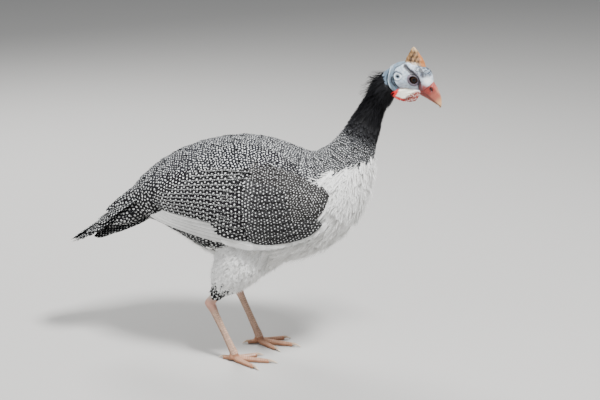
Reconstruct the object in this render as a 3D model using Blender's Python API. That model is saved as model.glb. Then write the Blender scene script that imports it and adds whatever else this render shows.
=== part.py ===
"""A pied guinea fowl standing on both feet with its wings folded, life size, as a display model.

The bird faces +X, its left side is +Y and +Z is up. The floor is z = 0. Sizes are in millimetres and are
turned into metres where a mesh is made. Each piece keeps a thin gap to the piece that it grows from.
"""

import math

import bmesh
import bpy
import numpy as np
from mathutils import Matrix, Vector

MM = 0.001
GAP = 0.35
STEP = 1e-3
SHORTEST_EDGE = 0.005

# Trunk: sections from the tail root to the top of the neck, each square to the line of the spine.
# x, z of the middle, pitch of the spine in degrees, half width, half height above and below the middle
TRUNK = (
    (-160, 204, 32, 27, 25, 22),
    (-135, 212, 20, 42, 42, 38),
    (-100, 218, 10, 56, 61, 61),
    (-60, 220, 4, 65, 76, 80),
    (-15, 220, 4, 68, 83, 87),
    (30, 222, 10, 66, 78, 84),
    (68, 232, 22, 60, 62, 74),
    (95, 250, 40, 50, 44, 58),
    (112, 276, 54, 38, 32, 42),
    (124, 300, 60, 28.5, 24, 29),
    (135, 324, 62, 21, 20, 22),
    (145, 346, 60, 17.5, 17, 17),
    (156, 366, 54, 16, 16, 15.5),
)
TORSO_END = 8.5
NECK_SPLIT = 10.3
NECK_END = 12.0
TRUNK_SIDES, NECK_SIDES = 28, 20
TORSO_RINGS, NECK_RINGS = 18, 5

# Head: the middle of the skull in the side view, and the pitch of the bill below the horizon
HEAD_X, HEAD_Z, HEAD_PITCH = 188.8, 381.0, -17.0
# The same six sizes as for the trunk, in the head's own frame, from behind the nape to the root of the bill
HEAD = (
    (-20, -13, 62, 15, 16.5, 14.5),
    (-13, -4, 48, 15, 18.5, 14.5),
    (-6, 1.5, 30, 15.3, 20, 15),
    (1, 4, 12, 15, 19, 17),
    (9, 4, -4, 14, 18.5, 17.5),
    (16.5, 2, -18, 12, 17.5, 15),
    (22.1, -2.1, -33, 9.6, 11.6, 12.4),
)
HEAD_SIDES, HEAD_RINGS = 20, 19
EYE_X, EYE_Z, EYE_Y, EYE_R = 5.0, 4.5, 8.9, 6.0
EYE_SIDES = 12
# A lid and an ear cup: radius, thickness, stretch along the head and count of sides; the lid's place outwards
LID, LID_OUT = (5.3, 1.15, 1.08, 14), 5.4
EAR_X, EAR_Z, EAR_Y, EAR_CUP = -14.0, 1.0, 14.6, (2.7, 0.85, 0.9, 8)
FOLD_COUNT, FOLD_DEPTH = 3, 0.7

# Bill, in a frame of its own at the head's last section: distance, half width, top and bottom
BILL_UPPER = (
    (0.4, 9.2, 11.2, -7.0),
    (4, 8.4, 10.9, -5.6),
    (9.5, 7.2, 10.3, -3.9),
    (15.5, 5.8, 9.0, -2.6),
    (21.5, 4.3, 6.8, -1.6),
    (26, 2.8, 4.0, -1.2),
    (29, 1.4, 1.4, -1.3),
    (30.7, 0.6, -0.6, -2.0),
)
BILL_LOWER = (
    (0.4, 8.4, -7.5, -12.0),
    (4, 7.4, -6.1, -10.6),
    (9.5, 6.2, -4.4, -8.3),
    (15.5, 4.8, -3.1, -6.1),
    (21.5, 3.0, -2.1, -4.0),
    (25.5, 1.3, -1.8, -2.9),
)
BILL_SIDES, BILL_UPPER_RINGS, BILL_LOWER_RINGS, BILL_ARCH = 12, 12, 7, 0.9
NOSTRIL_X, NOSTRIL_Z, NOSTRIL_Y, NOSTRIL_R = 5.6, 4.4, 7.4, 1.5
# The mouth line in the same frame, from the root of the bill back to the corner: distance and height
MOUTH = ((1.5, -6.7), (-6.0, -9.6))
MOUTH_OPEN, MOUTH_REACH = 0.5, 20.0

# Helmet: height, middle along the head, half length and half width of each section
HELMET = (
    (12, 1, 13.5, 7.5),
    (20, 1, 13.2, 6.8),
    (24, 0, 12.2, 5.8),
    (28, -1.2, 10.3, 4.8),
    (32, -3, 7.6, 3.9),
    (36, -5.2, 4.8, 2.9),
    (39, -7, 2.2, 1.7),
    (40.2, -7.8, 0.8, 0.8),
)
HELMET_RINGS, HELMET_SIDES = 10, 16

# Wattle: x, z and y of the middle, half length and half thickness of each section, root to edge
WATTLE = (
    (9, -6.5, 7.6, 8.5, 3.0),
    (6.5, -10.5, 9.8, 11.5, 2.4),
    (1.5, -15, 11.6, 16, 1.8),
    (-1.5, -19.5, 12.6, 17, 1.4),
    (-3, -22.8, 13.0, 12, 1.1),
    (-3.5, -24.5, 13.2, 5, 0.7),
)
WATTLE_WAVE, WATTLE_FOLDS = 0.7, 2.5
WATTLE_RINGS, WATTLE_SIDES = 7, 14
# The bulbs run back from the corner of the mouth: first and last place, and the radius of each
BULBS, BULB_STEP = 5, 1.5
BULB_FIRST, BULB_LAST = (15.0, 10.8, -12.5), (3.0, 12.4, -17.0)
BULB_R, BULB_SMALLEST = 1.6, 1.05

# Legs: how far each foot stands along x, half the stance, and the joints above the toes
FOOT_X = {1: -12.0, -1: -32.0}
FOOT_Y, FOOT_Z = 31.0, 12.5
HOCK_BACK, HOCK_Y, HOCK_Z = 30.0, 33.0, 81.0
KNEE_FORWARD, KNEE_Y, KNEE_Z = 62.0, 38.0, 172.0
# The shank from the ankle to the hock: half widths sideways and fore-and-aft, its waist and its scutes
SHANK_WIDE, SHANK_DEEP, SHANK_WAIST, SHANK_SIDES = 4.3, 5.2, 0.8, 8
SCUTES, SCUTE_RISE = 8, 0.45
# Sections of the hock: distance past the joint and half widths; the scutes end this far short of it
HOCK, SCUTES_SHORT = ((-6, 5.6, 6.4), (0, 6.4, 7.2), (7, 6.0, 6.6)), 9.0
# The root of the toes: distance below the ankle and half widths
TOE_ROOT = ((5.5, 4.4, 4.8), (2.5, 5.2, 5.8), (0, 4.3, 5.2))
# The bare end of the thigh above the hock, and the feathered part: reach, half widths
BARE_THIGH, BARE_THIGH_END = 17.0, (5.2, 6.0)
THIGH_ROOT, THIGH_SIDES = (6.6, 7.6), 16
THIGH = ((24, 9.5, 11), (36, 13.5, 18), (52, 18, 25), (68, 21, 30), (84, 22, 32), (110, 19, 28))
# Toes: heading in degrees out from straight ahead, length, half width and height of the middle at the root
TOES = {
    "inner": (-34.0, 33.0, 4.2, 6.3),
    "middle": (-2.0, 48.0, 4.7, 6.5),
    "outer": (31.0, 37.0, 4.2, 6.3),
    "hind": (196.0, 15.0, 3.4, 4.6),
}
CLAWS = {"inner": 10.0, "middle": 12.0, "outer": 10.0, "hind": 8.0}
TOE_TIP, TOE_RIDGE, TOE_SIDES = 2.9, 0.3, 8
LONG_TOE, LONG_RINGS, SHORT_RINGS = 20.0, 9, 4
# How much flatter than wide a toe is, how high its middle lies, how far it runs down from the ankle
TOE_FLAT, TOE_MIDDLE, TOE_DESCENT, TOE_BACK = 0.95, 0.82, 14.0, 3.0
CLAW_RINGS, CLAW_SIDES, CLAW_ROOT_R, CLAW_TIP_R, CLAW_FLAT = 5, 6, 2.3, 0.25, 0.8
CLAW_Z, CLAW_ARCH, CLAW_DROP = 2.75, 1.4, 2.1
SLAB_WIDE, SLAB_THICK = 200.0, 20.0

# Feathers: thickness, and how much each one lies above the next
VANE_THICK, VANE_RISE = 0.8, 1.45
# Half width of a feather along its length, as shares of its length and of its full half width
VANE_SHAPE = ((0, 0.12, 0.3, 0.7, 0.86, 0.95, 1.0), (0.45, 0.65, 0.95, 1.0, 0.84, 0.56, 0.16))
VANE_TIP, VANE_CLEAR = 9.0, 11.0
# The edges fall back at the tip by this much for each share of the length past the last one given
VANE_ROUND, VANE_SLACK = 0.9, 13.5

# Folded wing, laid on the flank: distance back from the wrist, and degrees round from the back line
WRIST_T = 6.95
# The flank runs on past the tail root to this station, measured by steps of this size
PAST_T, PAST_STEP = -0.9, 0.2
WING_LIFT = 0.6
WING_STEP = 42.0
# The pad of the arm and its small feathers: distance back, upper and lower edge, and thickness
PAD_BACK = (0, 8, 22, 40, 55, 75, 100, 120, 140)
PAD_TOP = (80, 64, 52, 44, 41, 39, 39, 41, 46)
PAD_LOW = (100, 110, 117, 120, 121, 121, 121, 119, 114)
PAD_THICK = (2.5, 8, 12.5, 13.2, 11, 8.2, 5.6, 3.2, 1.5)
PAD_EDGE, PAD_ROWS, PAD_COLUMNS = 1.4, 11, 9
# Girth of the first and last flight feather over the arm, and out at the wing's end
FLIGHTS = 12
ARM_BACK, END_BACK = 80.0, 240.0
ARM_GIRTH, END_GIRTH = (47.0, 116.0), (50.0, 104.0)
FLIGHT_HALF, FLIGHT_LIFT = 9.0, 1.2
# Roots of the first and last flight feather, tips of the first, the longest and the last, and where it lies
FLIGHT_ROOTS, FLIGHT_TIPS, LONGEST_FLIGHT = (95.0, 62.0), (168.0, 246.0, 240.0), 0.78
# Each row of coverts: count, roots and tips back from the wrist, girths, half width, lift of its lower side
COVERTS = ((7, 52, 132, (50, 113), 9.6, 5.6), (6, 24, 90, (55, 110), 9.6, 9.2))
COVERT_BOW = 6.0

# Tail: droop below the horizon, arch of the fan, and rows of feathers above and below
TAIL_DROOP = 33.0
TAIL_ARCH, TAIL_RISE = 60.0, 3.0
TAIL_STEP = 48.0
# Where the fan starts and ends to open, how its outer feathers shorten, and the parting in its middle
TAIL_FAN, TAIL_ROUND, TAIL_PARTING = (10, 110), 0.016, 0.4
TAIL_CORE = ((GAP, 27, 25, 22), (12, 27, 22, 21), (30, 26, 13, 14), (45, 22, 7, 8), (54, 14, 2.5, 3.5))
TAIL_RINGS, TAIL_SIDES = 8, 18
# Feathers each side of the middle one, root, tip, half width, and pitch at the root and far out
RECTRICES = (5, 14, 118, 10.5, (3.2, 6.2))
TAIL_COVERTS = ((3, 7, 82, 9.0, (4.6, 6.6)), (2, 3, 54, 9.0, (5.5, 7.2)))
UNDER_COVERTS = (2, 6, 74, 9.5, (6.0, 7.4))
UNDER_BACK, UNDER_DEPTH = (0, 20, 40, 60, 80), (20, 17, 12, 7.5, 4.5)
ROW_GAP = 1.4


def smooth(rows, t):
    """The sizes at station t, on a smooth curve through the rows."""
    rows = np.asarray(rows, float)
    last = len(rows) - 1
    t = min(max(t, 0.0), float(last))
    i = min(int(t), last - 1)
    f = t - i
    before, here, after, beyond = rows[max(i - 1, 0)], rows[i], rows[i + 1], rows[min(i + 2, last)]
    return 0.5 * (
        2 * here
        + (after - before) * f
        + (2 * before - 5 * here + 4 * after - beyond) * f**2
        + (3 * here - before - 3 * after + beyond) * f**3
    )


def section_point(row, angle, grow=0.0):
    """A point of an oval section. Angle 0 is the back line, and positive angles go down the left side."""
    x, z, pitch, wide, up, down = row
    rise = ((up if math.cos(angle) > 0 else down) + grow) * math.cos(angle)
    lean = math.radians(pitch)
    return Vector((x - rise * math.sin(lean), (wide + grow) * math.sin(angle), z + rise * math.cos(lean)))


def ring_angles(sides):
    """Evenly spaced angles round a section."""
    return [2 * math.pi * k / sides for k in range(sides)]


def head_frame():
    """The placement of the head's own frame."""
    tilt = Matrix.Rotation(-math.radians(HEAD_PITCH), 4, "Y")
    return Matrix.Translation(Vector((HEAD_X, 0, HEAD_Z)) * MM) @ tilt


def material(name, colour, roughness):
    """A plain finish for one kind of surface."""
    made = bpy.data.materials.get(name)
    if made is None:
        made = bpy.data.materials.new(name)
        made.use_nodes = True
        shader = made.node_tree.nodes["Principled BSDF"]
        shader.inputs["Base Color"].default_value = (*colour, 1)
        shader.inputs["Roughness"].default_value = roughness
        shader.inputs["Metallic"].default_value = 0.0
    return made


def pearl():
    """Dark slate plumage."""
    return material("pearl_plumage", (0.07, 0.07, 0.08), 0.75)


def hackle():
    """Black hair-like plumage of the neck."""
    return material("neck_plumage", (0.03, 0.03, 0.035), 0.7)


def white():
    """White plumage of the breast and thighs."""
    return material("white_plumage", (0.85, 0.85, 0.83), 0.85)


def bare_skin():
    """Pale blue bare skin of the face."""
    return material("face_skin", (0.62, 0.68, 0.74), 0.5)


def bill_horn():
    """Reddish horn of the bill."""
    return material("bill_horn", (0.66, 0.33, 0.24), 0.4)


def helmet_horn():
    """Tan horn of the helmet."""
    return material("helmet_horn", (0.52, 0.36, 0.2), 0.55)


def wattle_skin():
    """Red skin of the wattles."""
    return material("wattle_skin", (0.72, 0.08, 0.07), 0.45)


def eye_finish():
    """Dark wet eye."""
    return material("eye", (0.03, 0.018, 0.012), 0.08)


def leg_scales():
    """Pink scaled skin of the legs."""
    return material("leg_scales", (0.66, 0.45, 0.36), 0.5)


def claw_horn():
    """Pale horn of the claws."""
    return material("claw_horn", (0.6, 0.5, 0.4), 0.4)


def object_from(mesh, name, finish):
    """Turns a bmesh into a named object with its finish."""
    bmesh.ops.recalc_face_normals(mesh, faces=mesh.faces)
    data = bpy.data.meshes.new(name)
    mesh.to_mesh(data)
    mesh.free()
    data.materials.append(finish)
    made = bpy.data.objects.new(name, data)
    bpy.context.scene.collection.objects.link(made)
    data.shade_smooth()
    data.set_sharp_from_angle(angle=math.radians(35))
    return made


def loft(name, rings, finish):
    """A closed skin over rings of equal count, with each end filled round its middle."""
    mesh = bmesh.new()
    loops = [[mesh.verts.new(point * MM) for point in ring] for ring in rings]
    count = len(rings[0])
    for lower, upper in zip(loops, loops[1:]):
        for k in range(count):
            after = (k + 1) % count
            mesh.faces.new((lower[k], lower[after], upper[after], upper[k]))
    for loop in (loops[0], loops[-1]):
        hub = mesh.verts.new(sum((vert.co for vert in loop), Vector()) / count)
        for k in range(count):
            mesh.faces.new((loop[k], loop[(k + 1) % count], hub))
    return object_from(mesh, name, finish)


def plate(name, upper, lower, finish):
    """A closed plate between two grids of points, split into triangles alike on both faces."""
    mesh = bmesh.new()
    grids = [[[mesh.verts.new(point * MM) for point in row] for row in grid] for grid in (upper, lower)]
    rows, columns = len(upper), len(upper[0])
    for grid in grids:
        for i in range(rows - 1):
            for j in range(columns - 1):
                a, b, c, d = grid[i][j], grid[i + 1][j], grid[i + 1][j + 1], grid[i][j + 1]
                mesh.faces.new((a, b, c))
                mesh.faces.new((a, c, d))
    rim = [(i, 0) for i in range(rows)] + [(rows - 1, j) for j in range(1, columns)]
    rim += [(i, columns - 1) for i in range(rows - 2, -1, -1)] + [(0, j) for j in range(columns - 2, 0, -1)]
    for here, after in zip(rim, rim[1:] + rim[:1]):
        a, b = grids[0][here[0]][here[1]], grids[0][after[0]][after[1]]
        c, d = grids[1][after[0]][after[1]], grids[1][here[0]][here[1]]
        mesh.faces.new((a, b, c))
        mesh.faces.new((a, c, d))
    return object_from(mesh, name, finish)


def largest_body(obj):
    """Keeps only the largest closed surface of a mesh, with its shortest edges closed up."""
    mesh = bmesh.new()
    mesh.from_mesh(obj.data)
    left, bodies = set(mesh.faces), []
    while left:
        open_ends = [left.pop()]
        body = set(open_ends)
        while open_ends:
            for edge in open_ends.pop().edges:
                fresh = [face for face in edge.link_faces if face not in body]
                body.update(fresh)
                open_ends.extend(fresh)
        left -= body
        bodies.append(body)
    kept = max(bodies, key=len)
    bmesh.ops.delete(mesh, geom=[face for face in mesh.faces if face not in kept], context="FACES")
    bmesh.ops.dissolve_degenerate(mesh, dist=SHORTEST_EDGE * MM, edges=mesh.edges)
    mesh.to_mesh(obj.data)
    mesh.free()


def boolean(obj, pieces, operation, solver="EXACT"):
    """One Boolean with all the pieces, applied, after which the pieces are removed."""
    group = bpy.data.collections.new(obj.name + "_pieces")
    bpy.context.scene.collection.children.link(group)
    for piece in pieces:
        bpy.context.scene.collection.objects.unlink(piece)
        group.objects.link(piece)
    step = obj.modifiers.new(operation.lower(), "BOOLEAN")
    step.operation = operation
    step.operand_type = "COLLECTION"
    step.collection = group
    step.solver = solver
    bpy.context.view_layer.update()
    graph = bpy.context.evaluated_depsgraph_get()
    joined = bpy.data.meshes.new_from_object(obj.evaluated_get(graph))
    obj.modifiers.remove(step)
    obj.data = joined
    for piece in pieces:
        bpy.data.objects.remove(piece)
    bpy.data.collections.remove(group)
    largest_body(obj)
    obj.data.shade_smooth()
    obj.data.set_sharp_from_angle(angle=math.radians(35))
    return obj


def place(obj, matrix):
    """Moves a piece from the head's frame to its place, in its mesh."""
    obj.data.transform(matrix)
    return obj


def trunk_gap(t):
    """Half of the gap between two lengths of the trunk, in stations."""
    ahead, behind = smooth(TRUNK, t + STEP), smooth(TRUNK, t - STEP)
    return 0.5 * GAP * 2 * STEP / math.hypot(ahead[0] - behind[0], ahead[1] - behind[1])


def trunk_length(name, start, end, count, finish, sides=TRUNK_SIDES, grow=0.0):
    """One length of the trunk, from station start to station end."""
    rings = []
    for k in range(count + 1):
        row = smooth(TRUNK, start + (end - start) * k / count)
        rings.append([section_point(row, angle, grow) for angle in ring_angles(sides)])
    return loft(name, rings, finish)


def make_trunk():
    """The torso and the two lengths of the neck."""
    trunk_length("torso", 0.0, TORSO_END - trunk_gap(TORSO_END), TORSO_RINGS, pearl())
    lower_end = NECK_SPLIT - trunk_gap(NECK_SPLIT)
    trunk_length("neck_lower", TORSO_END + trunk_gap(TORSO_END), lower_end, NECK_RINGS, hackle(), NECK_SIDES)
    upper_start = NECK_SPLIT + trunk_gap(NECK_SPLIT)
    trunk_length("neck_upper", upper_start, NECK_END, NECK_RINGS, hackle(), NECK_SIDES)


def torso_cutter():
    """The torso grown by the gap, to cut what meets it."""
    return trunk_length("torso_cutter", 0.0, TORSO_END, TORSO_RINGS, pearl(), grow=GAP)


def neck_interface():
    """The head's first section, moved off the neck's last one by the gap, in the head's frame."""
    row = list(TRUNK[-1])
    lean = math.radians(row[2])
    point = Vector((row[0] + GAP * math.cos(lean), 0, row[1] + GAP * math.sin(lean))) * MM
    local = head_frame().inverted() @ point / MM
    return (local.x, local.z, row[2] - HEAD_PITCH, *row[3:])


def head_loft(name, grow=0.0):
    """The skull and face, with the folds of bare skin behind the ears."""
    rows = (neck_interface(), *HEAD)
    last = len(rows) - 1
    rings = []
    for k in range(HEAD_RINGS + 1):
        t = last * k / HEAD_RINGS
        ripple = 0.0
        if 0 < t < FOLD_COUNT / 2:
            ripple = FOLD_DEPTH * math.sin(2 * math.pi * t) * math.sin(math.pi * t * 2 / FOLD_COUNT)
        row = smooth(rows, t)
        rings.append([section_point(row, angle, grow + ripple) for angle in ring_angles(HEAD_SIDES)])
    return loft(name, rings, bare_skin())


def bill_frame():
    """The placement of the bill's frame inside the head's."""
    x, z, pitch = HEAD[-1][:3]
    return Matrix.Translation(Vector((x, 0, z)) * MM) @ Matrix.Rotation(-math.radians(pitch), 4, "Y")


def ring_of_skin(name, centre, radius, thick, stretch, sides):
    """A round fold of skin facing sideways, such as an eyelid or the cup of an ear."""
    mesh = bmesh.new()
    loops = []
    for k in range(sides):
        turn = 2 * math.pi * k / sides
        outward = Vector((math.cos(turn) * stretch, 0, math.sin(turn)))
        loop = []
        for j in range(6):
            round_tube = math.pi * j / 3
            reach = radius + thick * math.cos(round_tube)
            point = centre + outward * reach + Vector((0, thick * math.sin(round_tube), 0))
            loop.append(mesh.verts.new(point * MM))
        loops.append(loop)
    for i in range(sides):
        this, after = loops[i], loops[(i + 1) % sides]
        for j in range(6):
            mesh.faces.new((this[j], this[(j + 1) % 6], after[(j + 1) % 6], after[j]))
    return object_from(mesh, name, bare_skin())


def ball(name, centre, radius, finish, segments, stretch=(1, 1, 1)):
    """A round solid made from a UV sphere."""
    mesh = bmesh.new()
    bmesh.ops.create_uvsphere(mesh, u_segments=segments, v_segments=segments * 2 // 3, radius=radius * MM)
    bmesh.ops.rotate(mesh, verts=mesh.verts, matrix=Matrix.Rotation(math.pi / 2, 3, "X"))
    bmesh.ops.scale(mesh, verts=mesh.verts, vec=stretch)
    bmesh.ops.translate(mesh, verts=mesh.verts, vec=Vector(centre) * MM)
    return object_from(mesh, name, finish)


def mouth_slot():
    """The thin slot of the mouth line, from the root of the bill back to its corner."""
    half, ends = MOUTH_OPEN / 2, (-MOUTH_REACH, MOUTH_REACH)
    upper = [[Vector((x, y, z + half)) for y in ends] for x, z in MOUTH]
    lower = [[Vector((x, y, z - half)) for y in ends] for x, z in MOUTH]
    return place(plate("mouth_line", upper, lower, bare_skin()), bill_frame())


def make_head():
    """The head with its lids, ear cups and mouth line, and the eyes in their sockets."""
    head = head_loft("head")
    folds = []
    for side in (1, -1):
        lid = Vector((EYE_X, side * (EYE_Y + LID_OUT), EYE_Z))
        folds.append(ring_of_skin("lid", lid, *LID))
        ear = Vector((EAR_X, side * EAR_Y, EAR_Z))
        folds.append(ring_of_skin("ear_cup", ear, *EAR_CUP))
    boolean(head, folds, "UNION")
    sockets = [
        ball("socket", (EYE_X, side * EYE_Y, EYE_Z), EYE_R + GAP, bare_skin(), EYE_SIDES) for side in (1, -1)
    ]
    boolean(head, [*sockets, mouth_slot()], "DIFFERENCE")
    place(head, head_frame())
    for side, name in ((1, "eye_left"), (-1, "eye_right")):
        place(ball(name, (EYE_X, side * EYE_Y, EYE_Z), EYE_R, eye_finish(), EYE_SIDES), head_frame())


def bill_half(name, rows, count, above):
    """One half of the bill: a vault over or under the line of the mouth."""
    rings = []
    for k in range(count + 1):
        x, wide, top, bottom = smooth(rows, (len(rows) - 1) * k / count)
        ring = []
        for j in range(BILL_SIDES + 1):
            turn = math.pi * j / BILL_SIDES
            arch = math.sin(turn) ** BILL_ARCH
            z = bottom + (top - bottom) * arch if above else top + (bottom - top) * arch
            ring.append(Vector((x, wide * math.cos(turn), z)))
        rings.append(ring)
    return loft(name, rings, bill_horn())


def make_bill():
    """Both halves of the bill, with a nostril on each side of the upper one."""
    upper = bill_half("bill_upper", BILL_UPPER, BILL_UPPER_RINGS, True)
    nostrils = [
        ball("nostril", (NOSTRIL_X, side * NOSTRIL_Y, NOSTRIL_Z), NOSTRIL_R, bill_horn(), 10, (1.6, 1.2, 1))
        for side in (1, -1)
    ]
    boolean(upper, nostrils, "DIFFERENCE")
    lower = bill_half("bill_lower", BILL_LOWER, BILL_LOWER_RINGS, False)
    for half in (upper, lower):
        place(half, head_frame() @ bill_frame())


def make_helmet():
    """The horny helmet on the crown, leaning back to its point."""
    rings = []
    for k in range(HELMET_RINGS + 1):
        z, x, long, wide = smooth(HELMET, (len(HELMET) - 1) * k / HELMET_RINGS)
        turns = ring_angles(HELMET_SIDES)
        rings.append([Vector((x + long * math.cos(turn), wide * math.sin(turn), z)) for turn in turns])
    helmet = loft("helmet", rings, helmet_horn())
    boolean(helmet, [head_loft("crown_cutter", GAP)], "DIFFERENCE")
    place(helmet, head_frame())


def wattle_flap(name, side):
    """The waved flap of one wattle, from its root to its edge."""
    rings = []
    for k in range(WATTLE_RINGS + 1):
        share = k / WATTLE_RINGS
        x, z, y, long, thick = smooth(WATTLE, (len(WATTLE) - 1) * share)
        ring = []
        for turn in ring_angles(WATTLE_SIDES):
            wave = WATTLE_WAVE * share * math.sin(math.pi * WATTLE_FOLDS * math.cos(turn))
            aside = y + thick * math.sin(turn) + wave
            ring.append(Vector((x + long * math.cos(turn), side * aside, z)))
        rings.append(ring)
    return loft(name, rings, wattle_skin())


def make_wattles():
    """The flap of skin that hangs from each corner of the mouth, with bulbs near the corner."""
    first, last = Vector(BULB_FIRST), Vector(BULB_LAST)
    for side, name in ((1, "wattle_left"), (-1, "wattle_right")):
        wattle = wattle_flap(name, side)
        bulbs = []
        for k in range(BULBS):
            share = k / (BULBS - 1)
            centre = first.lerp(last, share) + Vector((0, 0, BULB_STEP * (k % 2)))
            centre.y *= side
            radius = BULB_R + (BULB_SMALLEST - BULB_R) * share
            bulbs.append(ball("bulb", centre, radius, wattle_skin(), 8, (1.2, 1, 0.9)))
        boolean(wattle, bulbs, "UNION")
        boolean(wattle, [head_loft("cheek_cutter", GAP)], "DIFFERENCE")
        place(wattle, head_frame())


def leg_joints(side):
    """The ankle above the toes, the hock and the hidden knee of one leg."""
    x = FOOT_X[side]
    return (
        Vector((x, side * FOOT_Y, FOOT_Z)),
        Vector((x - HOCK_BACK, side * HOCK_Y, HOCK_Z)),
        Vector((x - HOCK_BACK + KNEE_FORWARD, side * KNEE_Y, KNEE_Z)),
    )


def across(direction):
    """The two directions square to a limb: sideways, and forwards in its own plane."""
    sideways = Vector((0, 1, 0))
    sideways -= direction * direction.dot(sideways)
    sideways.normalize()
    return sideways, sideways.cross(direction).normalized()


def limb(name, stations, sides, finish):
    """A solid through oval sections: middle, direction, and half sizes sideways and fore-and-aft."""
    rings = []
    for middle, direction, wide, deep in stations:
        sideways, forward = across(direction.normalized())
        rings.append(
            [
                middle + sideways * (wide * math.cos(turn)) + forward * (deep * math.sin(turn))
                for turn in ring_angles(sides)
            ]
        )
    return loft(name, rings, finish)


def make_leg(side, end):
    """The scaled shank with its hock, and the feathered thigh above it."""
    ankle, hock, knee = leg_joints(side)
    shin, thigh = (hock - ankle).normalized(), (knee - hock).normalized()
    bend = (shin + thigh).normalized()
    shank_length = (hock - ankle).length
    stations = [(ankle + shin * GAP, shin, SHANK_WIDE, SHANK_DEEP)]
    rings_on_shank = 2 * SCUTES
    for k in range(1, rings_on_shank):
        share = k / rings_on_shank
        plump = SCUTE_RISE * (k % 2) - SHANK_WAIST * math.sin(math.pi * share)
        point = ankle + shin * (GAP + (shank_length - SCUTES_SHORT) * share)
        stations.append((point, shin, SHANK_WIDE + plump, SHANK_DEEP + plump))
    for past, wide, deep in HOCK:
        bone = shin if past < 0 else thigh
        heading = bone * 2 + bend if past else bend
        stations.append((hock + bone * past, heading.normalized(), wide, deep))
    stations.append((hock + thigh * BARE_THIGH, thigh, *BARE_THIGH_END))
    limb("shank_" + end, stations, SHANK_SIDES, leg_scales())
    rings = [(hock + thigh * (BARE_THIGH + GAP), thigh, *THIGH_ROOT)]
    rings += [(hock + thigh * reach, thigh, wide, deep) for reach, wide, deep in THIGH]
    thigh_piece = limb("thigh_" + end, rings, THIGH_SIDES, white())
    boolean(thigh_piece, [torso_cutter()], "DIFFERENCE")


def toe_heading(side, name):
    """Which way a toe points along the floor."""
    degrees = TOES[name][0]
    turn = math.radians(degrees) * side
    return Vector((math.cos(turn), math.sin(turn), 0))


def toe_pad(side, name):
    """One toe: it comes down from the ankle and runs along the floor on flat pads."""
    ankle = leg_joints(side)[0]
    heading = toe_heading(side, name)
    _, length, root, height = TOES[name]
    sideways = Vector((-heading.y, heading.x, 0))
    floor_at = ankle - Vector((0, 0, ankle.z))
    rings = []
    count = LONG_RINGS if length > LONG_TOE else SHORT_RINGS
    for k in range(count + 1):
        share = k / count
        wide = root + (TOE_TIP - root) * share + TOE_RIDGE * (k % 2)
        tall = wide * TOE_FLAT
        low = tall * TOE_MIDDLE
        middle = low + (height - low) * max(0.0, 1 - share * length / TOE_DESCENT) ** 1.5
        point = floor_at + heading * (length * share if k else -TOE_BACK)
        ring = []
        for turn in ring_angles(TOE_SIDES):
            tip = point + sideways * (wide * math.cos(turn))
            tip.z = middle + tall * math.sin(turn)
            ring.append(tip)
        rings.append(ring)
    return loft("toe", rings, leg_scales())


def make_claw(side, end, name):
    """The curved claw at the end of a toe."""
    ankle = leg_joints(side)[0]
    heading = toe_heading(side, name)
    sideways = Vector((-heading.y, heading.x, 0))
    start = Vector((ankle.x, ankle.y, 0)) + heading * (TOES[name][1] + GAP)
    rings = []
    for k in range(CLAW_RINGS + 1):
        share = k / CLAW_RINGS
        radius = CLAW_ROOT_R * (1 - share) ** 0.8 + CLAW_TIP_R
        arch = CLAW_ARCH * math.sin(math.pi * min(share * 1.15, 1)) * (1 - share)
        middle = start + heading * (CLAWS[name] * share)
        middle.z = CLAW_Z + arch - CLAW_DROP * share**2
        ring = []
        for turn in ring_angles(CLAW_SIDES):
            point = middle + sideways * (radius * CLAW_FLAT * math.cos(turn))
            point.z += radius * math.sin(turn)
            ring.append(point)
        rings.append(ring)
    loft(f"claw_{name}_{end}", rings, claw_horn())


def floor_slab(ankle):
    """A slab under the floor, which cuts the pads flat."""
    mesh = bmesh.new()
    bmesh.ops.create_cube(mesh, size=1.0)
    bmesh.ops.scale(mesh, verts=mesh.verts, vec=(SLAB_WIDE * MM, SLAB_WIDE * MM, SLAB_THICK * MM))
    bmesh.ops.translate(mesh, verts=mesh.verts, vec=Vector((ankle.x, ankle.y, -SLAB_THICK / 2)) * MM)
    return object_from(mesh, "floor_slab", leg_scales())


def make_foot(side, end):
    """The four toes, joined under the ankle, with their claws."""
    ankle, hock, _ = leg_joints(side)
    shin = (hock - ankle).normalized()
    stations = [(ankle - shin * below, shin, wide, deep) for below, wide, deep in TOE_ROOT]
    foot = limb("foot_" + end, stations, TOE_SIDES, leg_scales())
    boolean(foot, [toe_pad(side, name) for name in TOES], "UNION", "MANIFOLD")
    boolean(foot, [floor_slab(ankle)], "DIFFERENCE", "MANIFOLD")
    for name in TOES:
        make_claw(side, end, name)


def smooth_past(t):
    """The trunk's sizes at station t, run straight on past the tail root for the wing's tip."""
    if t >= 0:
        return smooth(TRUNK, t)
    first, second = smooth(TRUNK, 0.0), smooth(TRUNK, PAST_STEP)
    row = first + (first - second) * (-t / PAST_STEP)
    row[3:] = first[3:]
    return row


def flank_table():
    """How far back from the wrist each trunk station lies along the flank."""
    stations = np.linspace(WRIST_T, PAST_T, 100)
    points = [section_point(smooth_past(t), math.pi / 2) for t in stations]
    runs = [0.0]
    for here, after in zip(points, points[1:]):
        runs.append(runs[-1] + (after - here).length)
    return runs, list(stations)


FLANK_BACK, FLANK_T = flank_table()


def wing_point(side, back, girth, lift):
    """A point of the folded wing: distance back from the wrist, degrees round from the back line, lift."""
    t = float(np.interp(back, FLANK_BACK, FLANK_T))
    angle = side * math.radians(float(girth))
    row = smooth_past(t)
    along = section_point(smooth_past(t + STEP), angle) - section_point(smooth_past(t - STEP), angle)
    around = section_point(row, angle + STEP) - section_point(row, angle - STEP)
    return section_point(row, angle) + along.cross(around).normalized() * float(lift)


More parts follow.
